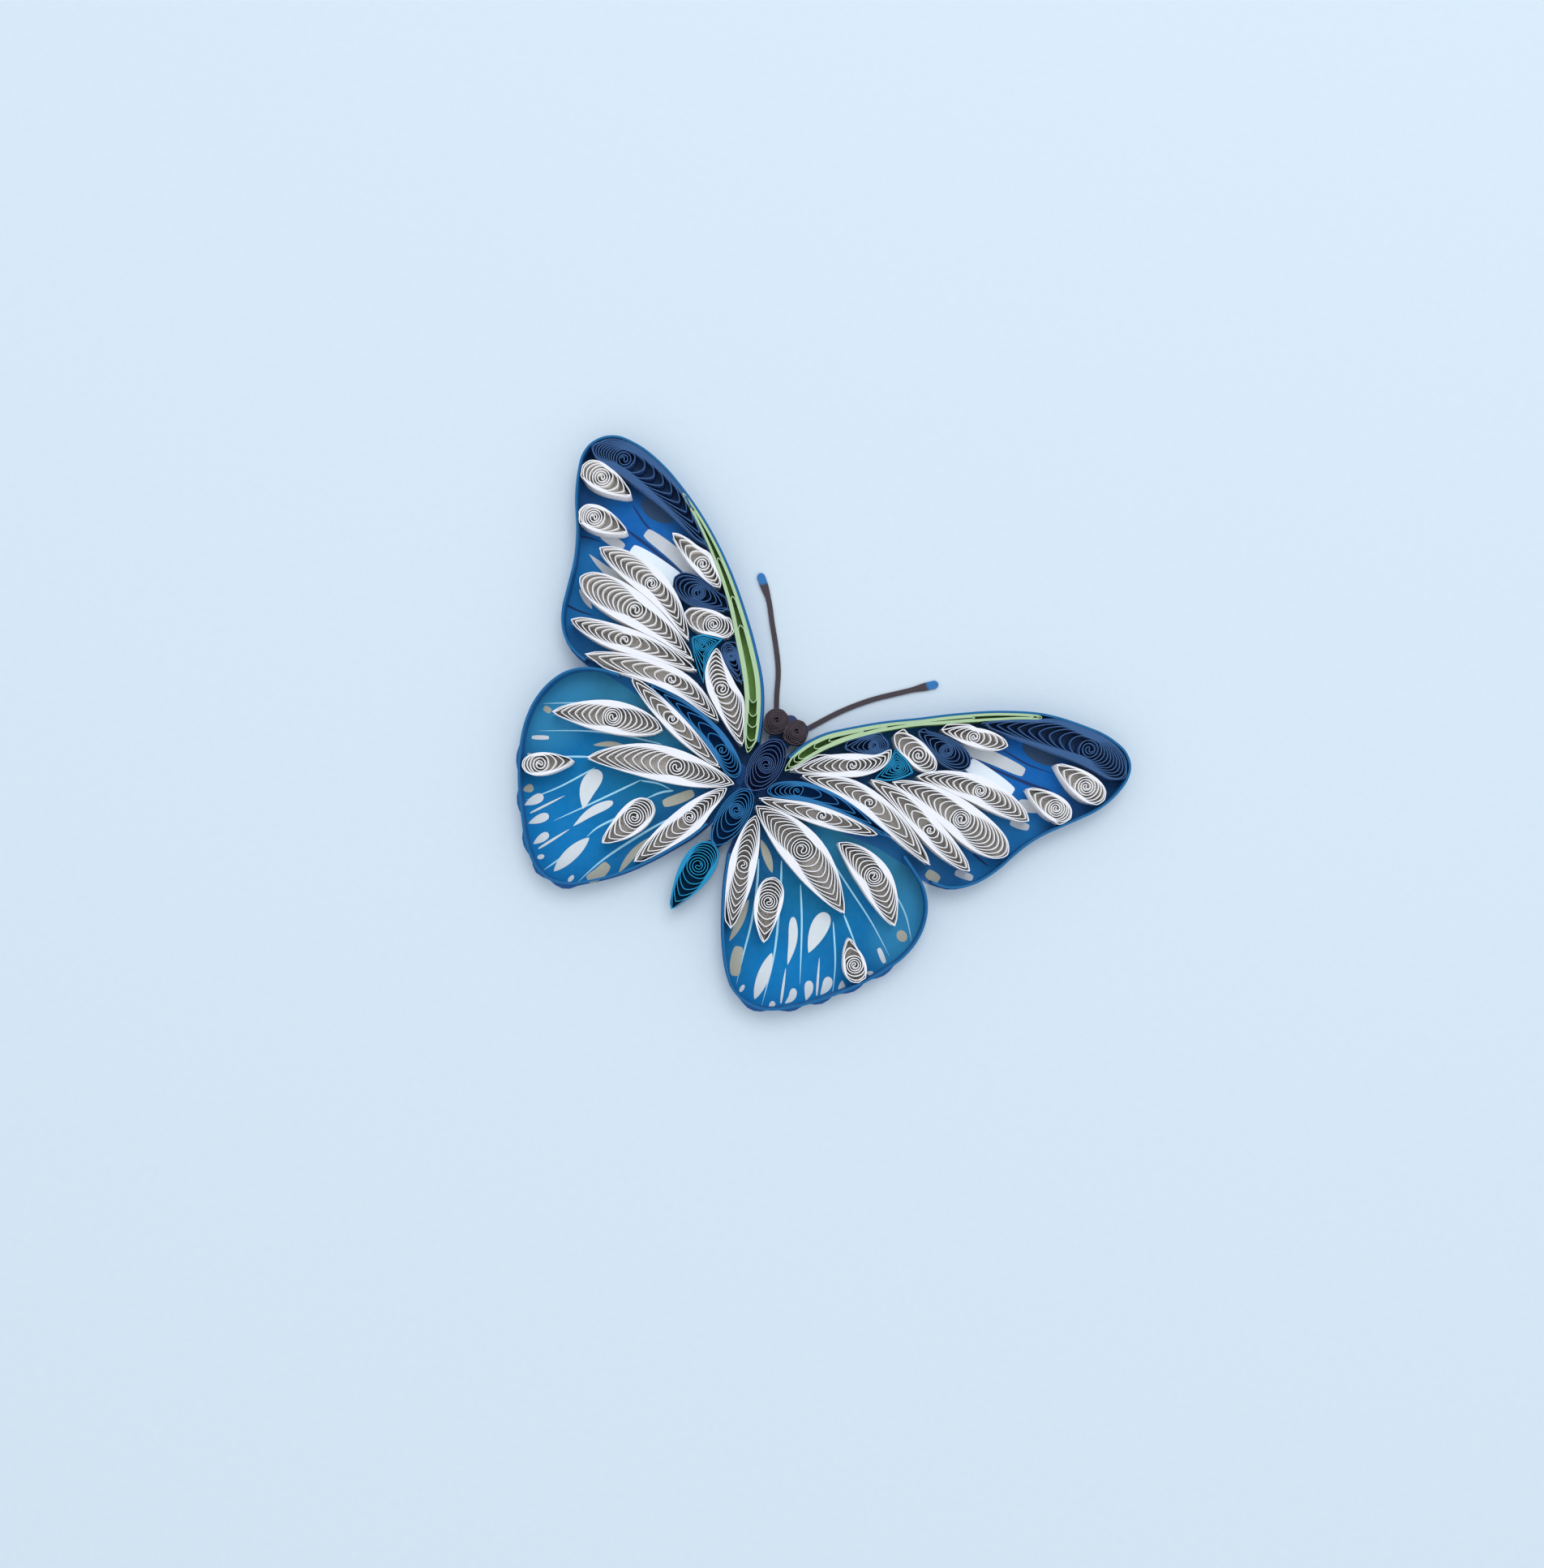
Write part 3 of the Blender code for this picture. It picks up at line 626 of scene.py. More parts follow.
def lerp(start, end, share):
    return start + (end - start) * share


def soft_least(first, second, soft):
    """The smaller of two values, with a rounded change from one to the other."""
    least = min(first, second)
    return least - soft * math.log(math.exp((least - first) / soft) + math.exp((least - second) / soft))


def hook(size):
    """The S at the end of the strip, where the slotted tool held it."""
    half = [size * reach * np.array([-math.cos(math.radians(turn)), math.sin(math.radians(turn))])
            for reach, turn in HOOK_SHAPE]
    return [*half, *(-spot for spot in half[::-1])]


def rolled_path(plan, side, roll):
    """The strip's middle line as distances along and to the left of the spine."""
    length, core = plan.spine.length, roll.core
    eye = min(max(plan.eye, core * EYE_ROOM), length - core * EYE_ROOM)
    edges = {sign: (SIDE_SHARES * length, side[sign] - PAPER / 2) for sign in (1, -1)}
    widths = side[1] + side[-1]
    near_end = SIDE_SHARES[:END_POINTS]
    tail_step = length * np.interp(FOLD_WIDTH, widths[:END_POINTS], near_end)
    head_step = length * np.interp(FOLD_WIDTH, widths[::-1][:END_POINTS], near_end)
    bulge = SIDE_REACH if roll.layer == PITCH else 1.0
    points = []
    for turn in range(roll.folds):
        for sign in (1, -1):
            drawn = []
            for step in range(HALF_TURN + 1):
                at = turn + (step if sign == 1 else HALF_TURN + step) / STEPS
                inward = max(at - 1, 0) / (roll.folds - 1)
                tail = lerp(min(at, 1) * tail_step, eye - core, inward)
                head = length - lerp(min(at, 1) * head_step, length - eye - core, inward)
                share = (1 - math.cos(math.pi * step / HALF_TURN)) / 2
                if sign == -1:
                    share = 1 - share
                along = lerp(tail, head, share)
                aside = np.interp(along, *edges[sign])
                if turn:
                    ends = [lerp(end, ROUND_END, inward ** ROUNDING) for end in plan.ends]
                    reach = lerp(side[sign].max() - PAPER / 2 - PITCH, core, inward)
                    free = reach * bulge * leaf_width(min(max(share, 0), 1), ends)
                    aside = soft_least(free, aside - roll.layer, SOFT)
                drawn.append((along, max(aside, 0)))
            points += [(along, sign * aside) for along, aside in drawn]
            order = np.argsort([along for along, _ in drawn])
            edges[sign] = np.array(drawn)[order].T
    for step in range(1, roll.round_turns * STEPS):
        angle = 2 * math.pi * step / STEPS
        radius = lerp(core, roll.hole, step / (roll.round_turns * STEPS))
        points.append((eye - radius * math.cos(angle), radius * math.sin(angle)))
    points += [(eye + x, y) for x, y in hook(roll.hole)]
    return np.array(points)


# %% Roll the coils
coil_paths = {}
for name in COILS:
    plan = plans[name]
    half = (sides[name][1].max() + sides[name][-1].max()) / 2
    path = rolled_path(plan, sides[name], roll_for(name, half, plan.spine.length))
    coil_paths[name] = plan.spine.place(path[:, 0], path[:, 1])
longest = max(length_of(path) for path in coil_paths.values())
print("paths:", len(coil_paths), "longest strip", round(longest / MM), "mm")

# %% [markdown]
# ## A strip stood on edge
#
# Every coil, fold and rim is the same thing: a flat strip that stands on the card and follows a path. So
# one Geometry Nodes tree makes them all. It sweeps a small rectangle along the path, wavers its upper edge
# a little, and gives the cut edges their own paper. Its last step but one gives the whole strip the paper
# of its faces, and the last one gives every face that looks up the paper of a cut edge.

# %% The Geometry Nodes strip
STRIP_INPUTS = {"Path": "Geometry", "Paper thickness": "Float", "Strip height": "Float", "Waver": "Float",
                "Seed": "Int", "Face": "Material", "Cut edge": "Material"}
WAVER_SCALE = 260.0
UPWARD = 0.7  # a face that looks up more than this is a cut edge


def more_than(tree, value, least):
    return node(tree, "FunctionNodeCompare", {"data_type": "FLOAT", "operation": "GREATER_THAN"},
                {0: value, 1: least})


def strip_tree():
    """A tree that stands a strip of paper along a path."""
    tree = bpy.data.node_groups.new("Standing strip", "GeometryNodeTree")
    for label, kind in STRIP_INPUTS.items():
        tree.interface.new_socket(label, in_out="INPUT", socket_type="NodeSocket" + kind)
    tree.interface.new_socket("Strip", in_out="OUTPUT", socket_type="NodeSocketGeometry")
    given = {label: node(tree, "NodeGroupInput", {}, {}, output=label) for label in STRIP_INPUTS}

    upright = node(tree, "GeometryNodeSetCurveNormal", {"mode": "Z_UP"}, {"Curve": given["Path"]})
    section = node(tree, "GeometryNodeCurvePrimitiveQuadrilateral", {"mode": "RECTANGLE"},
                   {"Width": given["Paper thickness"], "Height": given["Strip height"]})
    sweep = node(tree, "GeometryNodeCurveToMesh", {},
                 {"Curve": upright, "Profile Curve": section, "Fill Caps": True})

    place = node(tree, "GeometryNodeInputPosition", {}, {})
    x, y, height = [coordinate(tree, place, axis) for axis in range(3)]
    spot = node(tree, "ShaderNodeCombineXYZ", {}, {"X": x, "Y": y, "Z": given["Seed"]})
    lower = noise(tree, spot, WAVER_SCALE, detail=1.0) * given["Waver"]
    shift = node(tree, "ShaderNodeCombineXYZ", {}, {"Z": lower * -1.0})
    waver = node(tree, "GeometryNodeSetPosition", {},
                 {"Geometry": sweep, "Selection": more_than(tree, height, 0.0), "Offset": shift})

    real = node(tree, "GeometryNodeRealizeInstances", {}, {"Geometry": waver})
    faces = node(tree, "GeometryNodeSetMaterial", {}, {"Geometry": real, "Material": given["Face"]})
    normal = node(tree, "GeometryNodeInputNormal", {}, {})
    upward = more_than(tree, coordinate(tree, normal, 2), UPWARD)
    edges = node(tree, "GeometryNodeSetMaterial", {},
                 {"Geometry": faces, "Selection": upward, "Material": given["Cut edge"]})
    node(tree, "NodeGroupOutput", {}, {0: edges})
    return tree


STRIP_TREE = strip_tree()
SOCKETS = {item.name: item.identifier for item in STRIP_TREE.interface.items_tree if item.in_out == "INPUT"}

# %% Stand a strip on the card
FOOT = CARD_TOP + 0.03 * MM
SEEDS = 97
CREASE = math.radians(40)


def standing_strip(name, paths, colour, waver, thickness=PAPER):
    """One piece of standing strips, made by the tree and kept as a plain mesh."""
    curve = bpy.data.curves.new(name, "CURVE")
    curve.dimensions = "3D"
    for path in paths:
        spline = curve.splines.new("POLY")
        spline.points.add(len(path) - 1)
        for point, (x, y) in zip(spline.points, path):
            point.co = (x, y, 0.0, 1.0)
    drawn = bpy.data.objects.new(name + "_path", curve)
    scene.collection.objects.link(drawn)
    modifier = drawn.modifiers.new("Standing strip", "NODES")
    modifier.node_group = STRIP_TREE
    face, edge = papers[colour]
    inputs = {"Paper thickness": thickness, "Strip height": STRIP_TOP - FOOT, "Waver": waver,
              "Seed": sum(map(ord, name)) % SEEDS, "Face": face, "Cut edge": edge}
    for label, value in inputs.items():
        modifier[SOCKETS[label]] = value
    bpy.context.view_layer.update()
    shaped = drawn.evaluated_get(bpy.context.evaluated_depsgraph_get())
    mesh = bpy.data.meshes.new_from_object(shaped)
    bpy.data.objects.remove(drawn)
    mesh.transform(Matrix.Translation((0, 0, (FOOT + STRIP_TOP) / 2)))
    mesh.shade_smooth()
    mesh.set_sharp_from_angle(angle=CREASE)
    piece = bpy.data.objects.new(name, mesh)
    scene.collection.objects.link(piece)
    return piece


def stands_for(piece, slot, *names):
    """Fixes a piece to the body and hides the CAD nodes that it is seen instead of. The slot is not used."""
    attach(piece, "root")
    if names:
        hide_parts(*names)


# %% [markdown]
# ## The rolled coils
#
# The glue line under each coil is thin, so the strips go down to the print. White coils are the most
# common, the tips and ovals of the forewing are navy, and the body is indigo, blue and teal, with two
# plum coils for the head.

# %% Make the coils
COIL_WAVER = 0.08 * MM
for name, path in coil_paths.items():
    colour = slot_of[name]
    stands_for(standing_strip(name + "_coil", [path], colour, COIL_WAVER), colour, name)
print("coils:", len(coil_paths), "colours:", sorted(set(slot_of.values())))

# %% [markdown]
# ## The triangular coils
#
# Where the forewing's coils leave a gap with three corners, a teal coil is pinched at three corners to
# fill it. Its outline is drawn by its corners and by the middle of each side, which bows out or in. Then it
# gives way to its neighbours. Its turns are pressed together along the sides, spread towards the corners
# and turn round near the eye.

# %% Plan the triangular coils
Triangle = namedtuple("Triangle", "corners middles eye")
TRIANGLE_PLANS = {
    "left_forewing_teal_triangle": Triangle(((-13.8, 6.0), (-14.6, 13.2), (-18.7, 10.7)),
                                            ((-15.1, 9.9), (-17.0, 12.4), (-16.8, 8.5)), (-16.7, 10.6)),
    "right_forewing_teal_triangle": Triangle(((14.8, 7.1), (19.1, 10.9), (15.1, 12.7)),
                                             ((17.3, 8.5), (17.2, 12.0), (15.2, 9.8)), (16.7, 10.4)),
}
TRIANGLE_FOLDS = 5
TRIANGLE_ROUND = 2  # round turns at the eye
TRIANGLE_CORE = 0.7 * MM
TRIANGLE_HOLE = 0.28 * MM
TRIANGLE_STEPS = 120
TRIANGLE_ROUNDING = 0.8  # the smaller, the sooner a turn grows round
BOW_STEPS = 60
TURN_SHARES = np.linspace(0, 1, 500)


def radii_at(line, eye, angles):
    """How far a closed line is from the eye, at these angles."""
    arm = line - eye
    turn = np.arctan2(arm[:, 1], arm[:, 0])
    order = np.argsort(turn)
    return np.interp(angles, turn[order], np.linalg.norm(arm, axis=1)[order], period=2 * math.pi)


def triangle_outline(name):
    """The coil's edge, as an eye, the angles round it and the distance at each angle."""
    plan = TRIANGLE_PLANS[name]
    eye = np.array(plan.eye) * MM
    edge = []
    for corner, middle, after in zip(plan.corners, plan.middles, plan.corners[1:] + plan.corners[:1]):
        bend = 2 * np.array(middle) - (np.array(corner) + after) / 2
        for share in np.linspace(0, 1, BOW_STEPS, endpoint=False):
            edge.append(lerp(lerp(np.array(corner), bend, share), lerp(bend, np.array(after), share), share))
    edge = np.array(edge) * MM
    first = math.atan2(*(edge[0] - eye)[::-1])
    angles = first + np.linspace(0, 2 * math.pi, TRIANGLE_STEPS, endpoint=False)
    radii = radii_at(edge, eye, angles)
    spots = np.vstack([along_line(path[:STEPS], TURN_SHARES) for path in coil_paths.values()])
    arms = spots - eye
    away = np.linalg.norm(arms, axis=1)
    near = away < radii.max() + PAPER
    turned = np.arctan2(arms[near, 1], arms[near, 0])
    for step, angle in enumerate(angles):
        aside = np.abs((turned - angle + math.pi) % (2 * math.pi) - math.pi) * away[near]
        beside = away[near][aside < LOOK_WIDTH]
        if len(beside):
            radii[step] = min(radii[step], beside.min() - PAPER)
    return eye, angles, radii


# %% Make the triangular coils


def rays(angles):
    """Steps of length 1 at these angles."""
    return np.column_stack([np.cos(angles), np.sin(angles)])


def triangle_path(eye, angles, radii):
    """The strip's middle line, from a corner in to the eye."""
    before = radii - PAPER / 2 + PITCH
    points = []
    for turn in range(TRIANGLE_FOLDS):
        for step, arm in enumerate(rays(angles)):
            inward = max(turn + step / TRIANGLE_STEPS - 1, 0) / (TRIANGLE_FOLDS - 1)
            free = lerp(radii[step], TRIANGLE_CORE, inward ** TRIANGLE_ROUNDING)
            before[step] = min(free, before[step] - PITCH)
            points.append(eye + before[step] * arm)
    inner = min(before[0], TRIANGLE_CORE)
    for step in range(1, TRIANGLE_ROUND * STEPS):
        radius = lerp(inner, TRIANGLE_HOLE, step / (TRIANGLE_ROUND * STEPS))
        angle = angles[0] + 2 * math.pi * step / STEPS
        points.append(eye + radius * np.array([math.cos(angle), math.sin(angle)]))
    turned = Matrix.Rotation(angles[0] + math.pi, 2)
    points += [eye + np.array(turned @ Vector(spot)) for spot in hook(TRIANGLE_HOLE)]
    return np.array(points)


triangle_edges = {}
for name in TRIANGLES:
    eye, angles, radii = triangle_outline(name)
    triangle_edges[name] = eye + radii[:, None] * rays(angles)
    path = triangle_path(eye, angles, radii)
    stands_for(standing_strip(name + "_coil", [path], "teal", COIL_WAVER), "teal", name)
    print(name, "is", round(float(radii.max()) / MM, 1), "mm from eye to corner")

# %% [markdown]
# ## The folded green strips and the rims
#
# Behind each costal rim lies a long strip folded on itself in ever shorter loops, so its edges make two
# pale bands with dark green slits between. The rims are two blue strips glued back to back. Both follow
# the smooth curve of the wing's edge.

# %% Make the folded strips and the rims
FOLD_LAYER = 0.118 * MM  # from one loop to the next
FOLD_BEND = 0.5 * MM  # length in which a loop turns back
FOLD_STEPS = 90
FOLD_WAVER = 0.06 * MM
# Where each loop turns back, as shares of the strip's length from its tip to the wing's root
FOLD_LOOPS = {
    "left": ((0.0, 1.0), (0.01, 0.985), (0.03, 0.955), (0.27, 0.905), (0.42, 0.865), (0.53, 0.815)),
    "right": ((0.0, 1.0), (0.01, 0.98), (0.03, 0.95), (0.25, 0.93), (0.4, 0.86), (0.48, 0.8)),
}


def folded_paths(name):
    """Closed loops, one inside the other, from the tip to the root."""
    outer, inner = fold_bounds[name]
    stations = np.linspace(0, 1, len(outer))
    middle = (outer + inner) / 2
    half = np.linalg.norm(outer - inner, axis=1) / 2
    across = (outer - inner) / (2 * half[:, None])
    length = length_of(middle)
    paths = []
    for number, (start, end) in enumerate(FOLD_LOOPS[name.split("_")[0]]):
        wide = stations[half > (number + 1) * FOLD_LAYER]
        start, end = max(start, wide[0]), min(end, wide[-1])
        shares = start + (end - start) * (1 - np.cos(np.linspace(0, math.pi, FOLD_STEPS))) / 2
        bend = np.sqrt(np.clip(np.minimum(shares - start, end - shares) * length / FOLD_BEND, 0, 1))
        room = np.interp(shares, stations, half) - PAPER / 2 - number * FOLD_LAYER
        aside = (np.maximum(room, PAPER / 2) * bend)[:, None]
        spots = sample(middle, stations, shares)
        ways = sample(across, stations, shares)
        paths.append(np.vstack([spots + ways * aside, (spots - ways * aside)[-2::-1]]))
    return paths


for name in FOLDED:
    stands_for(standing_strip(name + "_fold", folded_paths(name), "green", FOLD_WAVER), "green", name)

RIM_STRIP = 0.15 * MM
RIM_OFFSET = 0.54  # of a rim strip's thickness, from the rim's middle line to the strip's own
RIM_WAVER = 0.05 * MM
for name, line in rim_lines.items():
    left = directions(line)[1]
    pair = [line + left * offset * RIM_STRIP * RIM_OFFSET for offset in (-1, 1)]
    stands_for(standing_strip(name + "_strips", pair, "rim_blue", RIM_WAVER, RIM_STRIP), "rim_blue", name)
print("rims:", len(rim_lines), "folded strips:", len(FOLDED))

# %% [markdown]
# ## The printed wings
#
# The card under the strips carries a butterfly print: shaded blues, pale and dark veins and pale spots.
# Each wing's ground is a thin film of ink inside its rim, and each spot or vein is a small leaf-shaped
# film on it. Films with crisp edges look printed at any size, and the wing's shading is a few soft fields
# of colour worked out in the shader from the place on the wing.

# %% Ink films
INK = 0.012 * MM
LIFT_PARTS = 200  # each shape of a film is one part of this many of an ink film above the one before
INK_SHINE = 0.08
INK_ROUGHNESS = 0.42
INK_DEPTH = 0.02 * MM
INK_GRAIN = 1300.0


def flat_film(name, outlines, low, material):
    """Flat closed shapes, each an ink film thick, as one piece. Later ones lie a hair above earlier ones."""
    shape = bmesh.new()
    for number, outline in enumerate(outlines):
        high = low + INK + number * INK / LIFT_PARTS
        drawn = [Vector(spot) / MM for spot in outline]
        spots, _, triangles, *_ = delaunay_2d_cdt(drawn, [], [list(range(len(drawn)))], 1, 1e-5)
        under = [shape.verts.new((*spot * MM, low)) for spot in spots]
        over = [shape.verts.new((*spot * MM, high)) for spot in spots]
        sides_used = set()
        for a, b, c in triangles:
            shape.faces.new((over[a], over[b], over[c]))
            shape.faces.new((under[c], under[b], under[a]))
            sides_used |= {(a, b), (b, c), (c, a)}
        for a, b in sides_used:
            if (b, a) not in sides_used:
                shape.faces.new((over[b], over[a], under[a], under[b]))
    bmesh.ops.recalc_face_normals(shape, faces=shape.faces)
    mesh = bpy.data.meshes.new(name)
    shape.to_mesh(mesh)
    shape.free()
    mesh.materials.append(material)
    piece = bpy.data.objects.new(name, mesh)
    scene.collection.objects.link(piece)
    return piece


def plain_ink(name, colour, deeper):
    made, tree, shader, place = new_material(name, INK_SHINE)
    grain = noise(tree, place, INK_GRAIN)
    shade = colour_mix(tree, grain, paint(*colour), paint(*deeper))
    finish_shader(tree, shader, shade, grain, INK_ROUGHNESS, INK_DEPTH)
    return made


# %% Printed grounds
Field = namedtuple("Field", "centre size colour strength")
FIELD_EDGE = (0.05, 1.0)  # squared distances from a field's centre where it starts to fade and is gone
GROUND_GRAIN = 3200.0
DOT_SCALE = 900.0
DOT_EDGE = (0.35, 0.7)
DOT_STRENGTH = 0.04
DOT_COLOUR = (90, 150, 200)


def plan_place(tree, place):
    """How far a place is from the middle of the body, on either side of it, and how far along the body."""
    across = node(tree, "ShaderNodeMath", {"operation": "ABSOLUTE"}, {0: coordinate(tree, place, 0)})
    return across, coordinate(tree, place, 1)


def soft_oval(tree, across, along, centre, size, edge):
    """1 inside an oval of the plan, in millimetres, and 0 outside, with a soft edge between."""
    dx = (across - centre[0] * MM) * (1 / (size[0] * MM))
    dy = (along - centre[1] * MM) * (1 / (size[1] * MM))
    return 1 - ramp(tree, dx * dx + dy * dy, *edge)


def printed_ground(name, base, fields):
    """Ink shaded by soft oval fields of colour, the same on both sides of the body."""
    made, tree, shader, place = new_material(name, INK_SHINE)
    across, along = plan_place(tree, place)
    shade = paint(*base)
    for field in fields:
        near = soft_oval(tree, across, along, field.centre, field.size, FIELD_EDGE)
        shade = colour_mix(tree, near * field.strength, shade, paint(*field.colour))
    dots = ramp(tree, noise(tree, place, DOT_SCALE, detail=2.0), *DOT_EDGE)
    shade = colour_mix(tree, dots * DOT_STRENGTH, shade, paint(*DOT_COLOUR))
    finish_shader(tree, shader, shade, noise(tree, place, GROUND_GRAIN), INK_ROUGHNESS, INK_DEPTH)
    return made


grounds = {}
grounds["fore"] = printed_ground("forewing_print", (24, 90, 144), [
    Field((38, 8), (10, 12), (20, 106, 168), 0.9),
    Field((34, 20), (10, 7), (8, 92, 168), 1.0),
    Field((44, 20), (6, 14), (18, 72, 128), 0.8),
    Field((34, 29), (26, 6.5), (24, 62, 108), 1.0),
    Field((22, 20), (9, 7), (20, 58, 108), 0.8),
    Field((5, 3), (16, 12), (20, 54, 96), 0.9),
])
grounds["hind"] = printed_ground("hindwing_print", (2, 102, 158), [
    Field((23, -2), (17, 7), (44, 118, 152), 0.9),
    Field((31, -8), (7, 10), (48, 132, 176), 0.8),
    Field((14, -11), (11, 6), (8, 100, 144), 0.9),
    Field((22, -26), (13, 9), (4, 112, 176), 0.9),
    Field((6, -12), (6, 10), (8, 78, 128), 0.9),
    Field((2, -2), (10, 7), (16, 66, 116), 0.9),
])
GROUND_LEVELS = {"fore": 1.2, "hind": 0.1}  # in ink films above the card
RIM_SKIP = 4  # points of the rim from one to the next that the print's edge takes
# The print's edge at the body, in millimetres
ROOT_ENDS = {"fore": ((0.8, -1.0), (0.8, 2.0)), "hind": ((0.8, -4.0), (0.8, 1.0))}
for name, line in rim_lines.items():
    half_wing = -1 if "left" in name else 1
    kind = "fore" if "forewing" in name else "hind"
    root = [(half_wing * x * MM, y * MM) for x, y in ROOT_ENDS[kind]]
    outline = [*map(tuple, line[::RIM_SKIP]), *root]
    level = CARD_TOP + GROUND_LEVELS[kind] * INK
    stands_for(flat_film(name.replace("rim", "print"), [outline], level, grounds[kind]), "printed_card")
print("printed grounds:", len(rim_lines))

# %% Inks of the spots and veins
inks = {
    "pale": plain_ink("pale_ink", (204, 214, 222), (194, 204, 212)),
    "bright": plain_ink("bright_ink", (224, 236, 246), (216, 229, 240)),
    "beige": plain_ink("beige_ink", (168, 170, 160), (156, 160, 150)),
    "grey": plain_ink("grey_ink", (192, 200, 208), (182, 190, 198)),
    # The darkest grey-blue ink here is for a painted shadow, not for print.
    "dusk": plain_ink("painted_shadow_ink", (50, 76, 106), (44, 70, 102)),
    "vein": plain_ink("pale_vein_ink", (166, 214, 236), (132, 192, 222)),
    "dark_vein": plain_ink("dark_vein_ink", (28, 52, 98), (22, 52, 104)),
}
print("inks:", ", ".join(inks))

# %% [markdown]
# ## Spots and veins
#
# The spots are plain leaves and bars, as on many butterflies, and the dark dot beside each navy tip is a
# painted shadow. Each is drawn by a line, a width and the shape of its two ends, in millimetres on the card.

# %% Print the spots and veins
# How a mark's two ends are pinched: the smaller the number, the blunter the end
LEAF = (0.8, 0.8)
DROP = (0.9, 0.45)
BAR = (0.2, 0.2)
DOT = (0.5, 0.5)
LINE = (0.35, 0.7)
WEDGE = (0.14, 0.05)

LEFT_MARKS = [
    # A painted shadow: the dark dot on the tail side of the navy tip, where the coil's shadow falls.
    ("dusk", ((-36.0, 24.5), (-33.2, 24.7), (-30.4, 24.8)), 3.5, DOT),
    ("grey", ((-33.1, 20.8), (-28.2, 20.3), (-22.9, 19.2)), 2.1, WEDGE),
    ("bright", ((-33.6, 17.5), (-29.6, 17.4), (-25.3, 17.1)), 2.5, WEDGE),
    ("grey", ((-38.5, 17.1), (-34.6, 17.1)), 1.5, BAR),
    ("grey", ((-38.5, 13.6), (-35.7, 13.0), (-31.0, 12.4)), 1.3, DROP),
    ("grey", ((-37.0, 8.4), (-33.8, 6.9)), 0.8, LEAF),
    ("dark_vein", ((-36.9, 23.2), (-32.8, 21.5), (-27.0, 20.9)), 0.3, LINE),
    ("dark_vein", ((-35.5, 19.6), (-30.5, 19.1), (-24.6, 18.2)), 0.5, LINE),
    ("dark_vein", ((-41.6, 14.9), (-39.6, 15.7), (-37.8, 16.1)), 0.3, LINE),
    ("dark_vein", ((-38.0, 5.4), (-35.5, 5.6), (-33.0, 6.2)), 0.35, LINE),
    ("beige", ((-32.1, -9.2), (-30.9, -9.2)), 0.9, BAR),
    ("pale", ((-31.3, -13.9), (-29.1, -12.6)), 0.65, BAR),
    ("grey", ((-30.6, -16.2), (-29.4, -16.4)), 0.8, DROP),
    ("pale", ((-19.3, -18.9), (-20.3, -15.8), (-20.2, -12.8)), 2.6, DROP),
    ("pale", ((-19.2, -21.8), (-18.0, -18.6), (-16.1, -15.7)), 1.35, DROP),
    ("beige", ((-23.0, -10.1), (-21.0, -8.7), (-18.8, -7.7)), 0.8, LEAF),
    ("beige", ((-9.7, -12.1), (-8.2, -10.3), (-6.7, -8.3)), 1.5, BAR),
    ("beige", ((-28.3, -21.2), (-27.2, -20.0)), 1.2, DROP),
    ("pale", ((-26.9, -22.9), (-25.3, -20.3)), 1.4, DROP),
    ("pale", ((-25.6, -23.5), (-22.6, -18.6)), 0.32, LINE),
    ("pale", ((-25.0, -24.9), (-23.1, -22.3)), 1.3, DROP),
    ("pale", ((-22.8, -27.1), (-21.7, -24.6)), 1.2, DROP),
    ("pale", ((-21.8, -27.3), (-19.4, -22.4)), 0.36, LINE),
    ("pale", ((-21.2, -28.5), (-20.5, -27.7)), 0.7, DOT),
    ("pale", ((-18.1, -28.9), (-17.3, -25.5), (-16.3, -22.0)), 1.9, LEAF),
    ("pale", ((-15.5, -29.1), (-15.3, -27.9)), 0.65, DOT),
    ("beige", ((-13.2, -27.4), (-12.3, -25.7), (-11.9, -23.8)), 1.7, BAR),
    ("beige", ((-9.9, -24.1), (-9.6, -20.8), (-8.8, -17.4)), 1.1, LEAF),
    ("vein", ((-24.3, -4.0), (-28.5, -6.2), (-32.7, -8.9)), 0.24, LINE),
    ("vein", ((-14.5, -4.7), (-20.0, -6.6), (-25.0, -8.9), (-31.2, -12.7)), 0.24, LINE),
    ("vein", ((-22.6, -11.9), (-26.6, -14.3)), 0.3, LINE),
    ("vein", ((-21.0, -12.8), (-24.0, -18.0), (-27.2, -22.3)), 0.26, LINE),
    ("vein", ((-14.3, -10.8), (-18.3, -17.0), (-22.1, -22.7)), 0.28, LINE),
    ("vein", ((-14.0, -16.8), (-16.0, -20.0), (-16.7, -22.2)), 0.32, LINE),
    ("vein", ((-17.9, -25.9), (-19.5, -29.6)), 0.28, LINE),
    ("vein", ((-9.4, -9.6), (-10.9, -10.9), (-12.3, -12.9)), 0.3, LINE),
    ("vein", ((-14.3, -10.9), (-11.8, -9.9), (-9.6, -9.7)), 0.26, LINE),
    ("vein", ((-7.8, -13.5), (-10.0, -17.5), (-12.8, -23.5), (-14.4, -28.8)), 0.36, LINE),
]
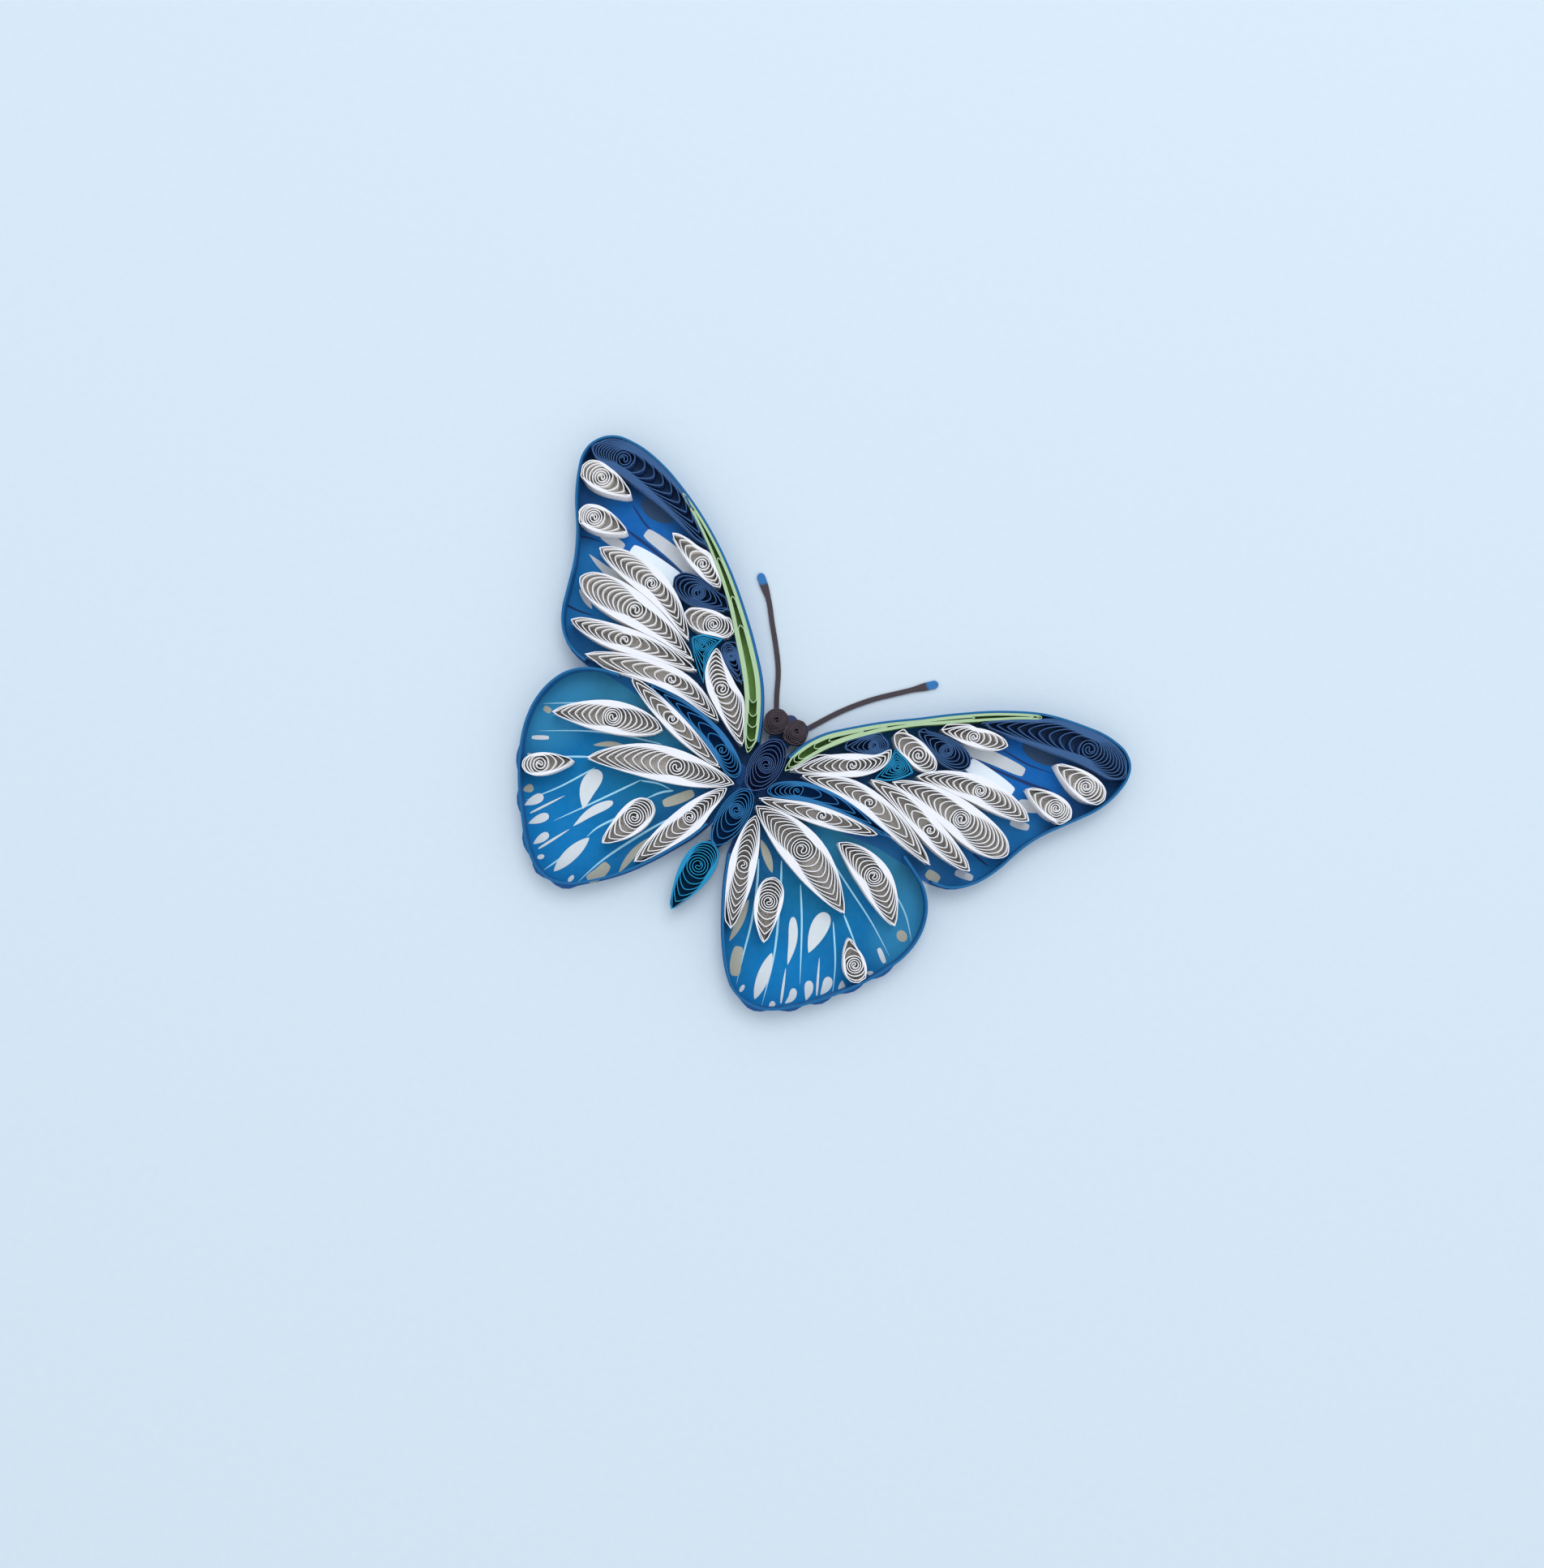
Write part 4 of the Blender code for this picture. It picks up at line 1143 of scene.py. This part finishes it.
RIGHT_MARKS = [
    # A painted shadow: the dark dot on the tail side of the navy tip, where the coil's shadow falls.
    ("dusk", ((30.9, 23.3), (33.7, 23.7), (36.7, 23.7)), 3.2, DOT),
    ("grey", ((33.3, 19.8), (28.1, 19.2), (23.0, 18.2)), 2.0, WEDGE),
    ("bright", ((33.4, 16.3), (29.7, 16.5), (25.6, 16.6)), 2.3, WEDGE),
    ("grey", ((34.9, 15.4), (36.4, 15.9), (38.3, 16.9)), 1.9, BAR),
    ("grey", ((35.3, 12.5), (38.1, 13.2)), 1.2, BAR),
    ("grey", ((32.2, 1.9), (34.9, 2.5)), 1.1, BAR),
    ("beige", ((28.6, -0.3), (30.8, -0.4)), 1.5, BAR),
    ("dark_vein", ((38.0, 19.6), (34.5, 18.7), (25.2, 17.3)), 0.5, LINE),
    ("dark_vein", ((28.6, 21.0), (33.0, 21.1), (37.0, 21.9)), 0.3, LINE),
    ("dark_vein", ((33.0, 5.6), (36.0, 5.2)), 0.35, LINE),
    ("beige", ((29.6, -9.8), (31.2, -10.6)), 1.5, DOT),
    ("pale", ((28.4, -13.5), (30.3, -14.9)), 0.75, BAR),
    ("grey", ((28.7, -17.5), (29.7, -17.1)), 0.7, DROP),
    ("pale", ((20.0, -19.5), (19.5, -16.2), (19.2, -13.1)), 2.6, DROP),
    ("pale", ((18.3, -22.6), (17.1, -19.2), (15.3, -16.2)), 1.35, DROP),
    ("beige", ((5.3, -9.0), (7.5, -10.7), (9.3, -12.3)), 1.2, LEAF),
    ("beige", ((9.2, -24.1), (9.0, -21.0), (8.4, -17.4)), 1.1, LEAF),
    ("pale", ((24.7, -23.8), (24.8, -22.3), (24.4, -20.9)), 1.4, DROP),
    ("grey", ((26.3, -20.3), (27.2, -21.9)), 1.1, DROP),
    ("pale", ((24.3, -24.2), (21.7, -19.2)), 0.34, LINE),
    ("pale", ((23.3, -25.6), (22.9, -24.2), (22.2, -22.9)), 1.3, DROP),
    ("pale", ((20.9, -27.6), (21.3, -26.3), (20.9, -25.0)), 1.1, DROP),
    ("pale", ((20.4, -27.9), (18.3, -23.1)), 0.38, LINE),
    ("pale", ((19.2, -29.3), (19.5, -28.2)), 0.8, DROP),
    ("pale", ((16.8, -29.4), (16.1, -25.7), (15.4, -22.3)), 1.8, LEAF),
    ("pale", ((14.4, -29.6), (14.4, -28.4)), 0.6, DOT),
    ("beige", ((12.6, -28.0), (11.6, -26.2), (10.8, -24.0)), 1.7, BAR),
    ("vein", ((26.0, -5.2), (29.3, -7.3), (32.1, -10.2)), 0.24, LINE),
    ("vein", ((15.0, -5.8), (20.0, -8.2), (25.5, -10.8), (30.6, -13.8)), 0.26, LINE),
    ("vein", ((21.5, -12.0), (25.6, -15.1)), 0.3, LINE),
    ("vein", ((20.7, -13.7), (24.0, -18.5), (26.2, -22.9)), 0.26, LINE),
    ("vein", ((13.7, -11.5), (17.0, -16.5), (21.4, -24.2)), 0.28, LINE),
    ("vein", ((9.5, -10.0), (11.5, -13.5), (15.7, -22.0), (18.3, -30.0)), 0.34, LINE),
    ("vein", ((6.5, -11.5), (8.5, -15.3), (10.5, -20.0), (11.9, -24.5), (13.4, -29.0)), 0.34, LINE),
]


# %% Shape the marks
MARK_STEPS = 36
BED_STEPS = 48
# How high each ink and the print under the coils lie, in ink films above the card
MARK_LEVELS = {"dusk": 1.6, "dark_vein": 2.0, "vein": 2.2, "beige": 3.0, "grey": 3.4, "pale": 3.7,
               "bright": 3.9}
BED_LEVEL = 4.2


def leaf_outline(spine, width, ends, steps):
    """A leaf along a spine, with this many points round it."""
    angles = np.linspace(0, 2 * math.pi, steps, endpoint=False)
    shares = (1 - np.cos(angles)) / 2
    aside = np.sign(np.sin(angles)) * leaf_width(np.clip(shares, 0, 1), ends) * width / 2
    aside[0] = aside[steps // 2] = 0
    return [tuple(spot) for spot in spine.place(shares * spine.length, aside)]


def mark_spine(points):
    """A spine through a mark's points. Two points are given a third halfway."""
    points = np.array(points) * MM
    return Spine(points if len(points) > 2 else [points[0], points.mean(axis=0), points[1]])


marks = {ink: [] for ink in inks}
for ink, points, width, ends in LEFT_MARKS + RIGHT_MARKS:
    marks[ink].append(leaf_outline(mark_spine(points), width * MM, ends, MARK_STEPS))

# %% [markdown]
# The print goes on under the coils. A white coil stands on a pale patch of its own outline, which shows
# between the turns, and on a grey patch a little larger than the coil and shifted a little towards the tail,
# which shows as a sliver beside it. Each coloured coil stands on its own colour. These colours are the
# print, painted lighter than it is, which is painted light that lifts the shade at the bottom of the narrow
# gaps between the turns.

# %% Print under the coils
# The grey patch under a white coil is a little wider than the coil and shifted a little towards the tail,
# where it shows as a sliver beside it.
PATCH_SLIP = Vector((-0.12, -0.25)) * MM
PATCH_GROWTH = 0.3 * MM
BED_MOTTLING = 0.94  # how bright the darker mottling of a coil's own print is
EDGE_SKIP = 4  # points of a fold's edges from one to the next that its print takes
CORNER_SKIP = 3  # the same for a triangular coil
# The print under each coil, painted lighter than it is: painted light that lifts the shade at the bottom of
# the gaps between the turns.
BED_COLOURS_WITH_PAINTED_LIGHT = {"white": (252, 250, 248), "navy": (66, 102, 152), "indigo": (52, 80, 142),
               "blue": (6, 84, 144), "teal": (4, 106, 156), "green": (156, 204, 118), "plum": (78, 68, 80)}

beds = {colour: [] for colour in BED_COLOURS_WITH_PAINTED_LIGHT}
for name in COILS:
    plan = plans[name]
    beds[slot_of[name]].append(leaf_outline(plan.spine, 2 * plan.half, plan.ends, BED_STEPS))
    if slot_of[name] == "white":
        patch = leaf_outline(plan.spine, 2 * plan.half + PATCH_GROWTH, plan.ends, BED_STEPS)
        marks["grey"].append([(x + PATCH_SLIP.x, y + PATCH_SLIP.y) for x, y in patch])
for outer, inner in fold_bounds.values():
    edge = np.vstack([outer[2:-2:EDGE_SKIP], inner[-3:2:-EDGE_SKIP]])
    beds["green"].append([tuple(spot) for spot in edge])
for edge in triangle_edges.values():
    beds["teal"].append([tuple(spot) for spot in edge[::CORNER_SKIP]])

for ink, outlines_in_ink in marks.items():
    film = flat_film("print_" + ink, outlines_in_ink, CARD_TOP + MARK_LEVELS[ink] * INK, inks[ink])
    stands_for(film, "printed_card")
for colour, outlines_in_ink in beds.items():
    deeper = [value * BED_MOTTLING for value in BED_COLOURS_WITH_PAINTED_LIGHT[colour]]
    ink = plain_ink(colour + "_bed_ink_with_painted_light", BED_COLOURS_WITH_PAINTED_LIGHT[colour], deeper)
    film = flat_film("print_under_" + colour, outlines_in_ink, CARD_TOP + BED_LEVEL * INK, ink)
    stands_for(film, "printed_card")
print("marks:", {ink: len(drawn) for ink, drawn in marks.items()})

# %% [markdown]
# ## The card's edge and the antennae
#
# The CAD card keeps its shape. Its edge shows outside the rims, a little deeper than the print, and its
# antennae are dark stems with a blue tip. One material does both: the antennae lie on the head's side of
# a slanting line that misses the wings, so the colour changes there. On the same side of it, the card
# behind the head's coils is dark blue.

# %% Finish the card
ANTENNA_LINE = 0.93  # millimetres that the line goes sideways for each one towards the head
ANTENNA_START = (5.0, 10.2)
ANTENNA_FADE = 0.05 * MM
CLUB = (15.6, 24.8)
CLUB_RADIUS = 2.2
CLUB_EDGE = (0.6, 1.1)
HEAD = (0.0, 6.8)
HEAD_RADIUS = 3.4
HEAD_EDGE = (1.0, 1.05 ** 2)
CARD_GRAIN = 1600.0
CARD_ROUGHNESS = 0.5
card_paper, tree, shader, place = new_material("card_and_antennae")
across, along = plan_place(tree, place)
beyond_start = along - ANTENNA_START[1] * MM
inside = ramp(tree, beyond_start * ANTENNA_LINE + ANTENNA_START[0] * MM - across, 0.0, ANTENNA_FADE)
tip = soft_oval(tree, across, along, CLUB, (CLUB_RADIUS, CLUB_RADIUS), CLUB_EDGE)
head = soft_oval(tree, across, along, HEAD, (HEAD_RADIUS, HEAD_RADIUS), HEAD_EDGE)
grain = noise(tree, place, CARD_GRAIN)
edge_shade = colour_mix(tree, grain, paint(12, 84, 152), paint(20, 92, 158))
stem_shade = colour_mix(tree, grain, paint(48, 40, 50), paint(60, 51, 60))
stem_shade = colour_mix(tree, tip, stem_shade, paint(28, 104, 168))
stem_shade = colour_mix(tree, head, stem_shade, paint(40, 56, 104))
card_shade = colour_mix(tree, inside, edge_shade, stem_shade)
finish_shader(tree, shader, card_shade, grain, CARD_ROUGHNESS, INK_DEPTH)
base = nodes["printed_base"]
base.data.materials.clear()
base.data.materials.append(card_paper)

# %% [markdown]
# ## Soft light
#
# The light comes softly from beyond the butterfly's head, and the shadows fall towards the tail. A big
# lamp does that, and an even pale sky fills the shadows. Both are plain, so a colour renders about as
# written.

# %% Light
SKY = 0.98
WINDOW = 0.3  # how bright a white sheet on the floor is under the lamp alone
WINDOW_SIZE = 0.5  # metres, as its place is
WINDOW_PLACE = Vector((-0.1, 0.46, 0.78))

world = bpy.data.worlds.new("sky")
world.use_nodes = True
scene.world = world
background = world.node_tree.nodes["Background"]
background.inputs["Color"].default_value = (1.0, 1.0, 1.0, 1.0)
background.inputs["Strength"].default_value = SKY
window = bpy.data.lights.new("window", "AREA")
window.shape = "SQUARE"
window.size = WINDOW_SIZE
distance = WINDOW_PLACE.length
window.energy = WINDOW * math.pi * math.pi * distance ** 2 / (WINDOW_PLACE.z / distance)
lamp = bpy.data.objects.new("window", window)
lamp.location = WINDOW_PLACE
lamp.rotation_euler = WINDOW_PLACE.to_track_quat("Z", "Y").to_euler()
scene.collection.objects.link(lamp)

FLOOR_GRAIN = 900.0
FLOOR_DEPTH = 0.05 * MM
FLOOR_ROUGHNESS = 0.75
floor_paint, tree, shader, place = new_material("pale_floor")
grain = noise(tree, place, FLOOR_GRAIN)
floor_shade = colour_mix(tree, grain, paint(191, 208, 222), paint(195, 212, 225))
finish_shader(tree, shader, floor_shade, grain, FLOOR_ROUGHNESS, FLOOR_DEPTH)
floor.data.materials.append(floor_paint)
print("lamp", round(window.energy, 2), "W")
